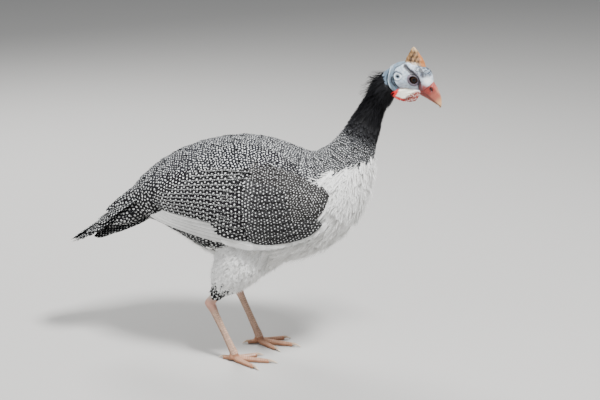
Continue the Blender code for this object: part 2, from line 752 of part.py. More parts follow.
def girth_radius(back):
    """The mean radius of the trunk this far back from the wrist."""
    row = smooth_past(float(np.interp(back, FLANK_BACK, FLANK_T)))
    return (row[3] + (row[4] + row[5]) / 2) / 2


def vane_stations(root, tip, step):
    """Where a feather's cross sections stand. They share steps, so that stacked feathers bend alike."""
    near_tip = tip - VANE_TIP
    shared = [step * k for k in range(math.ceil(root / step), math.ceil(tip / step))]
    inner = [back for back in shared if root + VANE_CLEAR < back < near_tip - VANE_CLEAR]
    return [root, *inner, near_tip, tip]


def vane(name, root, tip, half, step, placed):
    """One feather: a tapered blade. placed gives a point of it from the distance back from where the feathers
    start, the offset from the feather's own shaft, and the height over its lower face.
    """
    upper, lower = [], []
    for back in vane_stations(root, tip, step):
        share = (back - root) / (tip - root)
        reach = half * float(np.interp(share, *VANE_SHAPE))
        slack = VANE_SLACK * max(0.0, share - VANE_ROUND)
        edges = [(back - slack, -reach), (back, 0.0), (back - slack, reach)]
        upper.append([placed(at, offset, VANE_THICK) for at, offset in edges])
        lower.append([placed(at, offset, 0.0) for at, offset in edges])
    return plate(name, upper, lower, pearl())


def wing_girth(share, back):
    """Where the line of a flight feather runs, from the first (0) to the last (1)."""
    near = ARM_GIRTH[0] + (ARM_GIRTH[1] - ARM_GIRTH[0]) * share
    far = END_GIRTH[0] + (END_GIRTH[1] - END_GIRTH[0]) * share
    return near + (far - near) * (back - ARM_BACK) / (END_BACK - ARM_BACK)


def wing_vane(side, back, girth, offset, height):
    """A point of a feather of the wing, from the line of its shaft."""
    return wing_point(side, back, girth + math.degrees(offset / girth_radius(back)), height)


def flight_tip(share):
    """How far back each flight feather reaches: the inner ones are short, and the outer ones make the tip."""
    shortest, longest, last = FLIGHT_TIPS
    if share < LONGEST_FLIGHT:
        return shortest + (longest - shortest) * math.sin(math.pi / 2 * share / LONGEST_FLIGHT)
    return longest + (last - longest) * (share - LONGEST_FLIGHT) / (1 - LONGEST_FLIGHT)


def wing_flights(side):
    """The flight feathers, each lying over the next one down."""
    feathers = []
    for i in range(FLIGHTS):
        share = i / (FLIGHTS - 1)
        root = FLIGHT_ROOTS[0] + (FLIGHT_ROOTS[1] - FLIGHT_ROOTS[0]) * share

        def placed(back, offset, above, share=share):
            spread = math.radians(wing_girth(1, back) - wing_girth(0, back)) / (FLIGHTS - 1)
            slope = VANE_RISE / (spread * girth_radius(back))
            height = FLIGHT_LIFT + slope * (FLIGHT_HALF + offset) + above
            return wing_vane(side, back, wing_girth(share, back), offset, height)

        feathers.append(vane("flight", root, flight_tip(share), FLIGHT_HALF, WING_STEP, placed))
    return feathers


def wing_coverts(side, count, root, tip, girths, half, low):
    """One row of coverts, each lying over the next one down."""
    feathers = []
    spread = math.radians(girths[1] - girths[0]) / (count - 1)
    for i in range(count):
        share = i / (count - 1)
        girth = girths[0] + (girths[1] - girths[0]) * share

        def placed(back, offset, above, girth=girth):
            slope = VANE_RISE / (spread * girth_radius(back))
            return wing_vane(side, back, girth, offset, low + slope * (half + offset) + above)

        end = tip + COVERT_BOW * math.sin(math.pi * share)
        feathers.append(vane("covert", root, end, half, WING_STEP, placed))
    return feathers


def wing_pad(side, name):
    """The arm with its small feathers, thick at the front and thin where the flight feathers leave it."""
    upper, lower = [], []
    for i in range(PAD_ROWS + 1):
        back = PAD_BACK[-1] * i / PAD_ROWS
        top, low, thick = (float(np.interp(back, PAD_BACK, sizes)) for sizes in (PAD_TOP, PAD_LOW, PAD_THICK))
        rows = ([], [])
        for j in range(PAD_COLUMNS + 1):
            share = j / PAD_COLUMNS
            girth = top + (low - top) * share
            round_off = 1 - (2 * share - 1) ** 4
            rows[0].append(wing_point(side, back, girth, PAD_EDGE + (thick - PAD_EDGE) * round_off))
            rows[1].append(wing_point(side, back, girth, WING_LIFT))
        upper.append(rows[0])
        lower.append(rows[1])
    return plate(name, upper, lower, pearl())


def make_wing(side, name):
    """The folded wing: the arm's pad, the flight feathers and two rows of coverts."""
    wing = wing_pad(side, name)
    feathers = wing_flights(side)
    for row in COVERTS:
        feathers += wing_coverts(side, *row)
    boolean(wing, feathers, "UNION", "MANIFOLD")


def tail_point(back, over, lift):
    """A point of the tail: distance back from its root, arc over the arched fan, and height above it."""
    droop = math.radians(TAIL_DROOP)
    root = Vector((TRUNK[0][0], 0, TRUNK[0][1]))
    away = Vector((-math.cos(droop), 0, -math.sin(droop)))
    up = Vector((-math.sin(droop), 0, math.cos(droop)))
    turn = over / TAIL_ARCH
    rise = (TAIL_ARCH + lift) * math.cos(turn) - TAIL_ARCH + TAIL_RISE
    aside = (TAIL_ARCH + lift) * math.sin(turn)
    return root + away * float(back) + up * float(rise) + Vector((0, aside, 0))


def tail_pitch(row, back):
    """The arc between neighbouring feathers of a row, which fan out with distance."""
    return float(np.interp(back, TAIL_FAN, row[4]))


def tail_slope(row, back):
    """How steeply the feathers of a row lie, so that each clears the next."""
    return VANE_RISE / tail_pitch(row, back)


def tail_row(row, base, turn=1):
    """One row of tail feathers either side of a middle one. base gives the row's height at a distance."""
    each, root, tip, half, _ = row
    feathers = []
    for index in range(-each, each + 1):
        outward = (index > 0) - (index < 0)

        def placed(back, offset, above, index=index, outward=outward):
            over = index * tail_pitch(row, back) + offset
            lean = 2 * half
            if outward:
                over = outward * max(outward * over, TAIL_PARTING)
                lean = half + outward * over - abs(index) * tail_pitch(row, back)
            height = base(back) + tail_slope(row, back) * lean
            return tail_point(back, over, height + above if turn > 0 else above - height - VANE_THICK)

        end = tip - TAIL_ROUND * index * index * (tip - root)
        feathers.append(vane("quill", root, end, half, TAIL_STEP, placed))
    return feathers


def make_tail():
    """The tail: its core, the fan of quills, two rows of coverts above and one below."""
    rings = []
    lean = TRUNK[0][2]
    droop = math.radians(TAIL_DROOP)
    for k in range(TAIL_RINGS + 1):
        back, wide, up, down = smooth(TAIL_CORE, (len(TAIL_CORE) - 1) * k / TAIL_RINGS)
        x = TRUNK[0][0] - back * math.cos(droop)
        z = TRUNK[0][1] - back * math.sin(droop)
        rings.append([section_point((x, z, lean, wide, up, down), turn) for turn in ring_angles(TAIL_SIDES)])
    core = loft("tail", rings, pearl())
    feathers = tail_row(RECTRICES, lambda back: 0.0)
    stack = [RECTRICES]
    for row in TAIL_COVERTS:
        below = tuple(stack)

        def base(back, below=below):
            return sum(2 * under[3] * tail_slope(under, back) + ROW_GAP for under in below)

        feathers += tail_row(row, base)
        stack.append(row)
    feathers += tail_row(UNDER_COVERTS, lambda back: float(np.interp(back, UNDER_BACK, UNDER_DEPTH)), -1)
    boolean(core, feathers, "UNION", "MANIFOLD")


def centre_on_box():
    """Sets the origin under the middle of the bird's own box, seen from above."""
    ends = [vert.co.x for obj in bpy.data.objects for vert in obj.data.vertices]
    middle = (min(ends) + max(ends)) / 2
    for obj in bpy.data.objects:
        obj.data.transform(Matrix.Translation((-middle, 0, 0)))


def main():
    """Builds the whole bird."""
    for old in list(bpy.data.objects):
        bpy.data.objects.remove(old)
    make_trunk()
    make_head()
    make_bill()
    make_helmet()
    make_wattles()
    for side, end in ((1, "left"), (-1, "right")):
        make_wing(side, "wing_" + end)
        make_leg(side, end)
        make_foot(side, end)
    make_tail()
    centre_on_box()


main()
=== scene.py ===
"""The looks of a life-size pied guinea fowl that stands on a plain studio floor.

The bird faces +X, its left side is +Y and the floor is z = 0. Sizes are in millimetres in the bird's own
frame, the one that its solids were drawn in, and Shop.to_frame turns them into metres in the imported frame.
"""

import logging
import math
from dataclasses import dataclass, field
from enum import Enum, IntEnum
from functools import partial
from typing import Callable, Sequence

import bmesh
import bpy
import numpy as np
from mathutils import Matrix, Vector
from mathutils.bvhtree import BVHTree


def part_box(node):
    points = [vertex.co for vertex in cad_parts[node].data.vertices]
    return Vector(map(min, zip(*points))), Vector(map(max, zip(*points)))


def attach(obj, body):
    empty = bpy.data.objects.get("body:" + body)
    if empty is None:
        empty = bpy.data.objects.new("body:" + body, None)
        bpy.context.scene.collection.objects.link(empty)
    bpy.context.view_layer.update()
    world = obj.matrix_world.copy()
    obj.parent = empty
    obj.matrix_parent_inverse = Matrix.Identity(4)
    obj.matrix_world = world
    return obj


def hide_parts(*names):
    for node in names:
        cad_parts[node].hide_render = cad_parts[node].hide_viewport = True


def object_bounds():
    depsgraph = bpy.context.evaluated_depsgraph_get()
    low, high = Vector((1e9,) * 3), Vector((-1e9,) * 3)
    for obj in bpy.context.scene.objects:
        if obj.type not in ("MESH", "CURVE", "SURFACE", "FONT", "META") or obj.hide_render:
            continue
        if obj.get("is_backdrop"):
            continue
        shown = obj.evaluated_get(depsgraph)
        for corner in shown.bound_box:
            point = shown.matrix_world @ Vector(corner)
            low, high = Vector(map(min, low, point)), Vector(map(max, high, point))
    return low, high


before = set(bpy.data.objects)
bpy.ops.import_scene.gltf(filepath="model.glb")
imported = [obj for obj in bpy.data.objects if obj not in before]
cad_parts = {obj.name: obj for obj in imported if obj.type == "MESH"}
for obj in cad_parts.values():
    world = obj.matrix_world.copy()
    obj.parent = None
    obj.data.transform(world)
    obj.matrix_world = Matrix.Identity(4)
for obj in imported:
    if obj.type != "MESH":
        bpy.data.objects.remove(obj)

LOG = logging.getLogger("guinea_fowl")
MM = 0.001
STEP = 1e-3
BAKE_PATCH = 0.003
THIN = 0.12
Array = np.ndarray
Mesh = bpy.types.Mesh
Piece = bpy.types.Object
Material = bpy.types.Material
Socket = bpy.types.NodeSocket
Shape = bmesh.types.BMesh
Place = Callable[[Array, Array], Array]


def unit(vectors: Array) -> Array:
    """Vectors scaled to length one along their last axis."""
    return vectors / np.maximum(np.linalg.norm(vectors, axis=-1, keepdims=True), 1e-9)


def bump(distance: Array, width: float) -> Array:
    """A round hump of height one at distance zero, faded out past a few widths."""
    return np.exp(-((distance / width) ** 2))


def ramp(value: Array, low: float, high: float) -> Array:
    """A smooth step from 0 at low to 1 at high; high may be the lower number."""
    share = np.clip((value - low) / (high - low), 0.0, 1.0)
    return share * share * (3 - 2 * share)


def smooth_rows(rows: Sequence[Sequence[float]], t: Array) -> Array:
    """Rows of sizes read at stations t, on a smooth curve through them.

    Args:
        rows: the table, one row a station.
        t: stations, which are held inside the table.

    Returns:
        One row of sizes for each station.
    """
    table = np.asarray(rows, float)
    last = len(table) - 1
    t = np.clip(np.asarray(t, float), 0, last)
    i = np.minimum(t.astype(int), last - 1)
    f = (t - i)[..., None]
    before, here = table[np.maximum(i - 1, 0)], table[i]
    after, beyond = table[i + 1], table[np.minimum(i + 2, last)]
    return 0.5 * (
        2 * here
        + (after - before) * f
        + (2 * before - 5 * here + 4 * after - beyond) * f**2
        + (3 * here - before - 3 * after + beyond) * f**3
    )


def oval(rows: Array, angle: Array, grow: Array | float = 0.0) -> Array:
    """Points of oval sections. Angle 0 is the back line, and positive angles go down the left side.

    Args:
        rows: x, z, pitch in degrees, half width, half height above and below, one row a point.
        angle: the place round the section in radians.
        grow: how far outside the section the point lies.

    Returns:
        The points.
    """
    rise = (np.where(np.cos(angle) > 0, rows[..., 4], rows[..., 5]) + grow) * np.cos(angle)
    lean = np.radians(rows[..., 2])
    aside = (rows[..., 3] + grow) * np.sin(angle)
    return np.stack([rows[..., 0] - rise * np.sin(lean), aside, rows[..., 1] + rise * np.cos(lean)], -1)


class Slot(Enum):
    """The names of the record's material slots, passed to each piece's fitting."""

    PEARL = "pearl_plumage"
    WING = "wing_plumage"
    NECK = "neck_plumage"
    WHITE = "white_plumage"
    FACE = "face_skin"
    WATTLE = "wattle_skin"
    LEG = "leg_scales"
    BILL = "bill_horn"
    HELMET = "helmet_horn"
    CLAW = "claw_horn"
    EYE = "eye"


class Side(IntEnum):
    """A side of the bird, as the sign of its places along Y."""

    LEFT = 1
    RIGHT = -1

    @property
    def word(self) -> str:
        """The side as it stands in the names of pieces."""
        return self.name.lower()


@dataclass(frozen=True)
class Trunk:
    """The body and neck as ovals along the spine, from the tail root to the top of the neck."""

    rows: tuple = (
        (-160, 204, 32, 27, 25, 22),
        (-135, 212, 20, 42, 42, 38),
        (-100, 218, 10, 56, 61, 61),
        (-60, 220, 4, 65, 76, 80),
        (-15, 220, 4, 68, 83, 87),
        (30, 222, 10, 66, 78, 84),
        (68, 232, 22, 60, 62, 74),
        (95, 250, 40, 50, 44, 58),
        (112, 276, 54, 38, 32, 42),
        (124, 300, 60, 28.5, 24, 29),
        (135, 324, 62, 21, 20, 22),
        (145, 346, 60, 17.5, 17, 17),
        (156, 366, 54, 16, 16, 15.5),
    )
    past_step: float = 0.2

    @property
    def end(self) -> float:
        """The station at the top of the neck."""
        return float(len(self.rows) - 1)

    def at(self, t: Array) -> Array:
        """The sizes at stations t, run straight on past the tail root.

        Args:
            t: stations, counted from the tail root.

        Returns:
            One row of sizes for each.
        """
        t = np.asarray(t, float)
        rows = smooth_rows(self.rows, t)
        first, second = smooth_rows(self.rows, 0.0), smooth_rows(self.rows, self.past_step)
        past = np.minimum(t, 0.0)[..., None] / self.past_step * (second - first)
        past[..., 3:] = 0
        return rows + past

    def point(self, t: Array, angle: Array, grow: Array | float = 0.0) -> Array:
        """Points of the body's surface at stations t and angles in radians."""
        return oval(self.at(t), angle, grow)

    def along(self, t: Array, angle: Array) -> Array:
        """How the surface runs for each station, forwards."""
        return (self.point(t + STEP, angle) - self.point(t - STEP, angle)) / (2 * STEP)

    def around(self, t: Array, angle: Array) -> Array:
        """How the surface runs for each radian, down the left side."""
        return (self.point(t, angle + STEP) - self.point(t, angle - STEP)) / (2 * STEP)

    def out(self, t: Array, angle: Array) -> Array:
        """The surface's outward direction."""
        return unit(np.cross(self.along(t, angle), self.around(t, angle)))


@dataclass(frozen=True)
class HeadForm:
    """The skull and face as ovals in the head's own frame, from behind the nape to the root of the bill."""

    x: float = 188.8
    z: float = 381.0
    pitch: float = -17.0
    rows: tuple = (
        (-20, -13, 62, 15, 16.5, 14.5),
        (-13, -4, 48, 15, 18.5, 14.5),
        (-6, 1.5, 30, 15.3, 20, 15),
        (1, 4, 12, 15, 19, 17),
        (9, 4, -4, 14, 18.5, 17.5),
        (16.5, 2, -18, 12, 17.5, 15),
        (22.1, -2.1, -33, 9.6, 11.6, 12.4),
    )
    eye: tuple = (5.0, 8.9, 4.5)
    eye_r: float = 6.0
    ear: tuple = (-14.7, 1.8)

    def eye_reach(self, x: Array, z: Array) -> Array:
        """How far points lie from the middle of the eye, seen from the side; the upper lid hangs a little."""
        ahead, rise = x - self.eye[0], z - self.eye[2]
        return np.hypot(ahead / 1.1, rise * np.where(rise > 0, 1.16, 1.0) + 0.12 * ahead)

    def ear_reach(self, x: Array, z: Array) -> Array:
        """How far points lie from the middle of the ear, seen from the side."""
        return np.hypot((x - self.ear[0]) / 1.1, z - self.ear[1])

    def matrix(self) -> Matrix:
        """The placement of the head's frame in the bird's, in millimetres."""
        return Matrix.Translation((self.x, 0, self.z)) @ Matrix.Rotation(-math.radians(self.pitch), 4, "Y")

    def bill_matrix(self) -> Matrix:
        """The placement of the bill's frame, at the head's last section."""
        x, z, pitch = self.rows[-1][:3]
        return self.matrix() @ Matrix.Translation((x, 0, z)) @ Matrix.Rotation(-math.radians(pitch), 4, "Y")


def moved(points: Array, matrix: Matrix) -> Array:
    """Points carried by a placement."""
    turn = np.array(matrix, float)
    return points @ turn[:3, :3].T + turn[:3, 3]


TRUNK = Trunk()
LONG_NECK = Trunk(
    rows=(
        *TRUNK.rows,
        (166, 374.4, 45, 15.2, 16.8, 14.8),
        (175.2, 381, 31, 15.2, 18.6, 14.6),
        (183.5, 384.2, 13, 15.4, 20.2, 15.2),
    )
)
HEAD = HeadForm()


def outward(place: Callable, reach: Array, turn: Array) -> Array:
    """The outward direction of a surface.

    Args:
        place: gives the surface's points from reach, turn and lift.
        reach: the places along it.
        turn: the places round it.

    Returns:
        Directions of length one.
    """
    flat = np.zeros_like(reach)
    along = place(reach + STEP, turn, flat) - place(reach - STEP, turn, flat)
    around = place(reach, turn + STEP, flat) - place(reach, turn - STEP, flat)
    made = unit(np.cross(along, around))
    raised = place(reach, turn, flat + 1) - place(reach, turn, flat)
    return made * np.sign((made * raised).sum(-1))[..., None]


@dataclass
class Shop:
    """Turns shapes into pieces of the model: named objects in metres that ride on the body."""

    shift: Vector = field(default_factory=Vector)

    def __post_init__(self) -> None:
        """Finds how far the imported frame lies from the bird's own, by the left eye."""
        low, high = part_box("eye_left")
        self.shift = (low + high) / 2 / MM - HEAD.matrix() @ Vector(HEAD.eye)

    def to_frame(self, points: Array) -> Array:
        """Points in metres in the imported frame.

        Args:
            points: points in millimetres in the bird's frame.

        Returns:
            The same points for a mesh.
        """
        return (points + np.array(self.shift)) * MM

    def from_frame(self, points: Array) -> Array:
        """Points in millimetres in the bird's frame, from a mesh's own."""
        return points / MM - np.array(self.shift)

    def object_of(self, mesh: Mesh, name: str) -> Piece:
        """An object at the origin that shows this mesh.

        Args:
            mesh: the mesh.
            name: its name.

        Returns:
            The object.
        """
        mesh.shade_smooth()
        made = bpy.data.objects.new(name, mesh)
        bpy.context.scene.collection.objects.link(made)
        return made

    def from_bmesh(self, shape: Shape, name: str, matrix: Matrix | None = None) -> Piece:
        """An object from a shape in millimetres.

        Args:
            shape: the shape, which is used up.
            name: the piece's name.
            matrix: where the shape's own frame lies in the bird's.

        Returns:
            The object, with its place in its mesh.
        """
        if matrix is not None:
            shape.transform(matrix)
        shape.transform(Matrix.Scale(MM, 4) @ Matrix.Translation(self.shift))
        bmesh.ops.recalc_face_normals(shape, faces=shape.faces)
        mesh = bpy.data.meshes.new(name)
        shape.to_mesh(mesh)
        shape.free()
        return self.object_of(mesh, name)

    def painted(
        self, shape: Shape, name: str, colours: Callable, finish: Material, matrix: Matrix | None = None
    ) -> Piece:
        """An object from a shape in millimetres, with a colour painted on each point.

        Args:
            shape: the shape, which is used up.
            name: the piece's name.
            colours: gives the colours of points in the shape's own frame.
            finish: the material.
            matrix: where the shape's own frame lies in the bird's.

        Returns:
            The object, with its place in its mesh.
        """
        points = np.array([vert.co for vert in shape.verts])
        piece = self.from_bmesh(shape, name, matrix)
        paint(piece.data, colours(points))
        piece.data.materials.append(finish)
        return piece

    def fit(self, piece: Piece, slot: Slot, replaced: Sequence[str] = ()) -> Piece:
        """Fixes a finished piece to the body.

        Args:
            piece: the piece.
            slot: the record's material slot; not used.
            replaced: the solids that it stands for.

        Returns:
            The piece.
        """
        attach(piece, "root")
        if replaced:
            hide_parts(*replaced)
        LOG.info("%s: %d faces", piece.name, len(piece.data.polygons))
        return piece


def points_of(mesh: Mesh) -> Array:
    """A mesh's points, one row each.

    Args:
        mesh: the mesh.

    Returns:
        The points, in the mesh's own units.
    """
    found = np.empty(len(mesh.vertices) * 3, np.float32)
    mesh.vertices.foreach_get("co", found)
    return found.reshape(-1, 3).astype(float)


def mapped_ball(segments: int, rings: int, place: Place) -> Shape:
    """A closed form made from a ball whose points are moved to where place says.

    Args:
        segments: the count of faces round it.
        rings: the count of faces from end to end.
        place: gives points from the share of the way from end to end and the angle round.

    Returns:
        The shape in millimetres, in the frame that place uses.
    """
    shape = bmesh.new()
    bmesh.ops.create_uvsphere(shape, u_segments=segments, v_segments=rings, radius=1.0)
    found = np.array([vert.co for vert in shape.verts])
    share = np.arccos(np.clip(found[:, 2], -1, 1)) / math.pi
    turn = np.arctan2(found[:, 1], found[:, 0])
    for vert, point in zip(shape.verts, place(share, turn)):
        vert.co = point
    bmesh.ops.recalc_face_normals(shape, faces=shape.faces)
    return shape


def capped(share: Array, cap: float) -> tuple[Array, Array]:
    """Splits the way along a mapped ball into its round ends and its length.

    Args:
        share: the share of the way from end to end.
        cap: the share that each end takes.

    Returns:
        The share along the length, from 0 to 1, and how full the section is there.
    """
    length = np.clip((share - cap) / (1 - 2 * cap), 0, 1)
    edge = np.minimum(share, 1 - share)
    return length, np.sin(np.clip(edge / cap, 0, 1) * math.pi / 2)


def paint(mesh: Mesh, colours: Array, name: str = "paint") -> None:
    """Gives a mesh a colour at each point.

    Args:
        mesh: the mesh.
        colours: red, green, blue and one more value for each point.
        name: the name of the attribute.
    """
    layer = mesh.attributes.new(name, "FLOAT_COLOR", "POINT")
    layer.data.foreach_set("color", np.ascontiguousarray(colours, np.float32).ravel())


def one_colour(colour: Sequence[float], count: int) -> Array:
    """The same red, green and blue for each of many points."""
    return np.tile([*colour, 1.0], (count, 1)).astype(float)


def mixed(base: Array, colour: Sequence[float], share: Array) -> Array:
    """Colours laid over others.

    Args:
        base: one colour a point.
        colour: the red, green and blue laid on.
        share: how much of it each point takes.

    Returns:
        One colour a point.
    """
    return base + (np.array([*colour, 1.0]) - base) * np.clip(share, 0, 1)[:, None]


@dataclass
class Plates:
    """Many thin closed plates of one layout, such as feathers, hairs or scutes, made as one mesh.

    Each plate has a line of stations from root to tip. The arrays are in millimetres, one row a plate.
    """

    spine: Array
    up: Array
    half: Array
    crown: Array
    columns: int = 5
    tilt: Array | None = None
    flip: float = 1.0
    attributes: dict = field(default_factory=dict)
    patch: Array | None = None
    # how dark each plate is painted near its root, as painted shade
    shade: float = 0.0

    @staticmethod
    def faces(stations: int, columns: int) -> tuple[Array, Array]:
        """The faces of one plate.

        Args:
            stations: the count of points along it.
            columns: the count of points across it.

        Returns:
            The four-sided faces of its two sides, and the two ends, as numbers of its points.
        """
        grid = np.arange(stations * columns).reshape(stations, columns)
        upper = np.stack([grid[:-1, :-1], grid[:-1, 1:], grid[1:, 1:], grid[1:, :-1]], -1).reshape(-1, 4)
        lower = np.stack([grid[:-1, 0], grid[1:, 0], grid[1:, -1], grid[:-1, -1]], -1)
        return np.concatenate([upper, lower]), np.stack([grid[0, ::-1], grid[-1]])

    def mesh(self, name: str, shop: Shop) -> Mesh:
        """One mesh of all the plates, with their attributes and maps.

        Args:
            name: its name.
            shop: what turns shapes into pieces.

        Returns:
            The mesh.
        """
        count, stations = self.half.shape
        columns = self.columns
        ahead = np.gradient(self.spine, axis=1)
        length = np.linalg.norm(np.diff(self.spine, axis=1), axis=2)
        run = np.concatenate([np.zeros((count, 1)), np.cumsum(length, axis=1)], axis=1)
        ahead = unit(ahead)
        side = unit(np.cross(ahead, self.up))
        up = np.cross(side, ahead)
        across = np.linspace(-1, 1, columns)
        lean = 0.0 if self.tilt is None else self.tilt[..., None, None]
        reach = self.half[..., None, None] * across[:, None]
        vault = (self.crown[..., None] * (1 - across**2))[..., None]
        points = self.spine[:, :, None] + side[:, :, None] * reach
        points = points + up[:, :, None] * (vault + reach * lean)
        quads, ends = self.faces(stations, columns)
        return self.build(name, shop, points, quads, ends, across, run)

    def build(
        self, name: str, shop: Shop, points: Array, quads: Array, ends: Array, across: Array, run: Array
    ) -> Mesh:
        """Writes the mesh and its attributes.

        Args:
            name: its name.
            shop: what turns shapes into pieces.
            points: the points of all the plates.
            quads: the four-sided faces of one plate.
            ends: its two ends.
            across: the places across it, from -1 to 1.
            run: how far from its root each station of each plate lies.

        Returns:
            The mesh.
        """
        count, stations = self.half.shape
        each = stations * self.columns
        starts = (np.arange(count) * each)[:, None, None]
        four, many = (quads + starts).reshape(-1), (ends + starts).reshape(-1)
        corners = np.concatenate([four, many]).astype(np.int32)
        sizes = np.concatenate([np.full(four.size // 4, 4), np.full(many.size // self.columns, self.columns)])
        mesh = bpy.data.meshes.new(name)
        mesh.vertices.add(count * each)
        mesh.vertices.foreach_set("co", shop.to_frame(points.reshape(-1, 3)).astype(np.float32).ravel())
        mesh.loops.add(corners.size)
        mesh.loops.foreach_set("vertex_index", corners)
        mesh.polygons.add(sizes.size)
        mesh.polygons.foreach_set("loop_start", (np.cumsum(sizes) - sizes).astype(np.int32))
        mesh.update(calc_edges=True)
        shape = (count, stations, self.columns)
        level = np.broadcast_to((run[:, -1:] - run)[..., None], shape)
        aside = np.broadcast_to(self.half[..., None] * across * self.flip, shape)
        share = 1 - level / np.maximum(run[:, -1:, None], 1e-9)
        vane = np.stack([aside, level], -1).reshape(-1, 2) / 10
        self.uv(mesh, "Vane", vane, corners)
        if self.patch is not None:
            spot = np.stack([np.broadcast_to((across + 1) / 2, shape), share], -1)
            origin, size = self.patch[:, None, None, :2], self.patch[:, None, None, 2:]
            self.uv(mesh, "OFBake", (origin + (spot - 0.5) * size).reshape(-1, 2), corners)
        norm = np.stack([np.broadcast_to(across * self.flip, shape), share, np.full(shape, self.shade)], -1)
        for key, values in {"norm": norm, **self.attributes}.items():
            wide = values.shape[-1]
            if values.ndim == 2:
                values = np.broadcast_to(values[:, None, None, :], (*shape, wide))
            kind, slot = ("FLOAT_COLOR", "color") if wide == 4 else ("FLOAT_VECTOR", "vector")
            layer = mesh.attributes.new(key, kind, "POINT")
            layer.data.foreach_set(slot, np.ascontiguousarray(values, np.float32).ravel())
        mesh.shade_smooth()
        mesh.set_sharp_from_angle(angle=math.radians(75))
        return mesh

    @staticmethod
    def uv(mesh: Mesh, name: str, places: Array, corners: Array) -> None:
        """Adds a map with one place a point."""
        layer = mesh.uv_layers.new(name=name, do_init=False)
        layer.uv.foreach_set("vector", np.ascontiguousarray(places[corners], np.float32).ravel())


class Board:
    """A material and its nodes, laid out by short calls."""

    def __init__(self, name: str) -> None:
        """Starts a material with its shader.

        Args:
            name: the material's name.
        """
        self.material = bpy.data.materials.new(name)
        self.material.use_nodes = True
        self.tree = self.material.node_tree
        self.shader = self.tree.nodes["Principled BSDF"]

    def node(self, kind: str, **settings: object) -> bpy.types.Node:
        """Adds a node with these settings.

        Args:
            kind: the node's type.
            settings: its settings.

        Returns:
            The node.
        """
        made = self.tree.nodes.new(kind)
        for key, value in settings.items():
            setattr(made, key, value)
        return made

    def put(self, socket: Socket, value: object) -> None:
        """Joins a socket to another one, or sets its value.

        Args:
            socket: an input.
            value: the socket to join to it, or its value.
        """
        if isinstance(value, Socket):
            self.tree.links.new(value, socket)
        else:
            socket.default_value = value

    def math(self, operation: str, *values: object) -> Socket:
        """The result of a Math node on numbers or sockets.

        Args:
            operation: what the node does.
            values: its inputs.

        Returns:
            The result.
        """
        made = self.node("ShaderNodeMath", operation=operation)
        for socket, value in zip(made.inputs, values):
            self.put(socket, value)
        return made.outputs[0]

    def times(self, first: object, second: object) -> Socket:
        """The product of two numbers or sockets."""
        return self.math("MULTIPLY", first, second)

    def rest(self, share: object) -> Socket:
        """What a share leaves of one."""
        return self.math("SUBTRACT", 1.0, share)

    def ramp(self, value: object, low: object, high: object) -> Socket:
        """A smooth step from 0 at low to 1 at high.

        Args:
            value: what is read.
            low: where the step starts.
            high: where it ends, which may be the lower number.

        Returns:
            The step.
        """
        made = self.node("ShaderNodeMapRange", interpolation_type="SMOOTHSTEP")
        for socket, given in zip(made.inputs, (value, low, high, 0.0, 1.0)):
            self.put(socket, given)
        return made.outputs[0]

    def mix(self, share: object, first: object, second: object, blend: str = "MIX") -> Socket:
        """Two colours mixed.

        Args:
            share: how much of the second colour shows.
            first: the first colour.
            second: the second colour.
            blend: the node's way of mixing them.

        Returns:
            The mixed colour.
        """
        made = self.node("ShaderNodeMix", data_type="RGBA", blend_type=blend)
        self.put(made.inputs["Factor"], share)
        self.put(made.inputs["A"], first)
        self.put(made.inputs["B"], second)
        return made.outputs["Result"]

    def read(self, name: str) -> bpy.types.Node:
        """Reads an attribute of the mesh."""
        return self.node("ShaderNodeAttribute", attribute_name=name)

    def split(self, vector: Socket) -> Sequence[Socket]:
        """The three parts of a vector.

        Args:
            vector: the vector.

        Returns:
            One socket a part.
        """
        made = self.node("ShaderNodeSeparateXYZ")
        self.put(made.inputs[0], vector)
        return made.outputs

    def noise(self, vector: object, scale: float, detail: float = 3.0) -> Socket:
        """Soft noise of this many cells to a unit.

        Args:
            vector: where it is read.
            scale: the count of cells.
            detail: the count of finer layers.

        Returns:
            The noise, from 0 to 1.
        """
        made = self.node("ShaderNodeTexNoise")
        self.put(made.inputs["Vector"], vector)
        made.inputs["Scale"].default_value = scale
        made.inputs["Detail"].default_value = detail
        return made.outputs["Fac"]

    def object_places(self) -> Socket:
        """The places on the piece in metres."""
        return self.node("ShaderNodeTexCoord").outputs["Object"]

    def relief(self, height: Socket, strength: float, depth: float) -> None:
        """Raises the surface by a height.

        Args:
            height: the height at each place.
            strength: how much of it counts, from 0 to 1.
            depth: how many metres a height of one is.
        """
        made = self.node("ShaderNodeBump")
        made.inputs["Strength"].default_value = strength
        made.inputs["Distance"].default_value = depth
        self.put(made.inputs["Height"], height)
        self.put(self.shader.inputs["Normal"], made.outputs["Normal"])

    def constant(self, **values: float) -> None:
        """Sets the shader's own numbers, by socket names with underscores for spaces."""
        for key, value in values.items():
            self.shader.inputs[key.replace("_", " ")].default_value = value


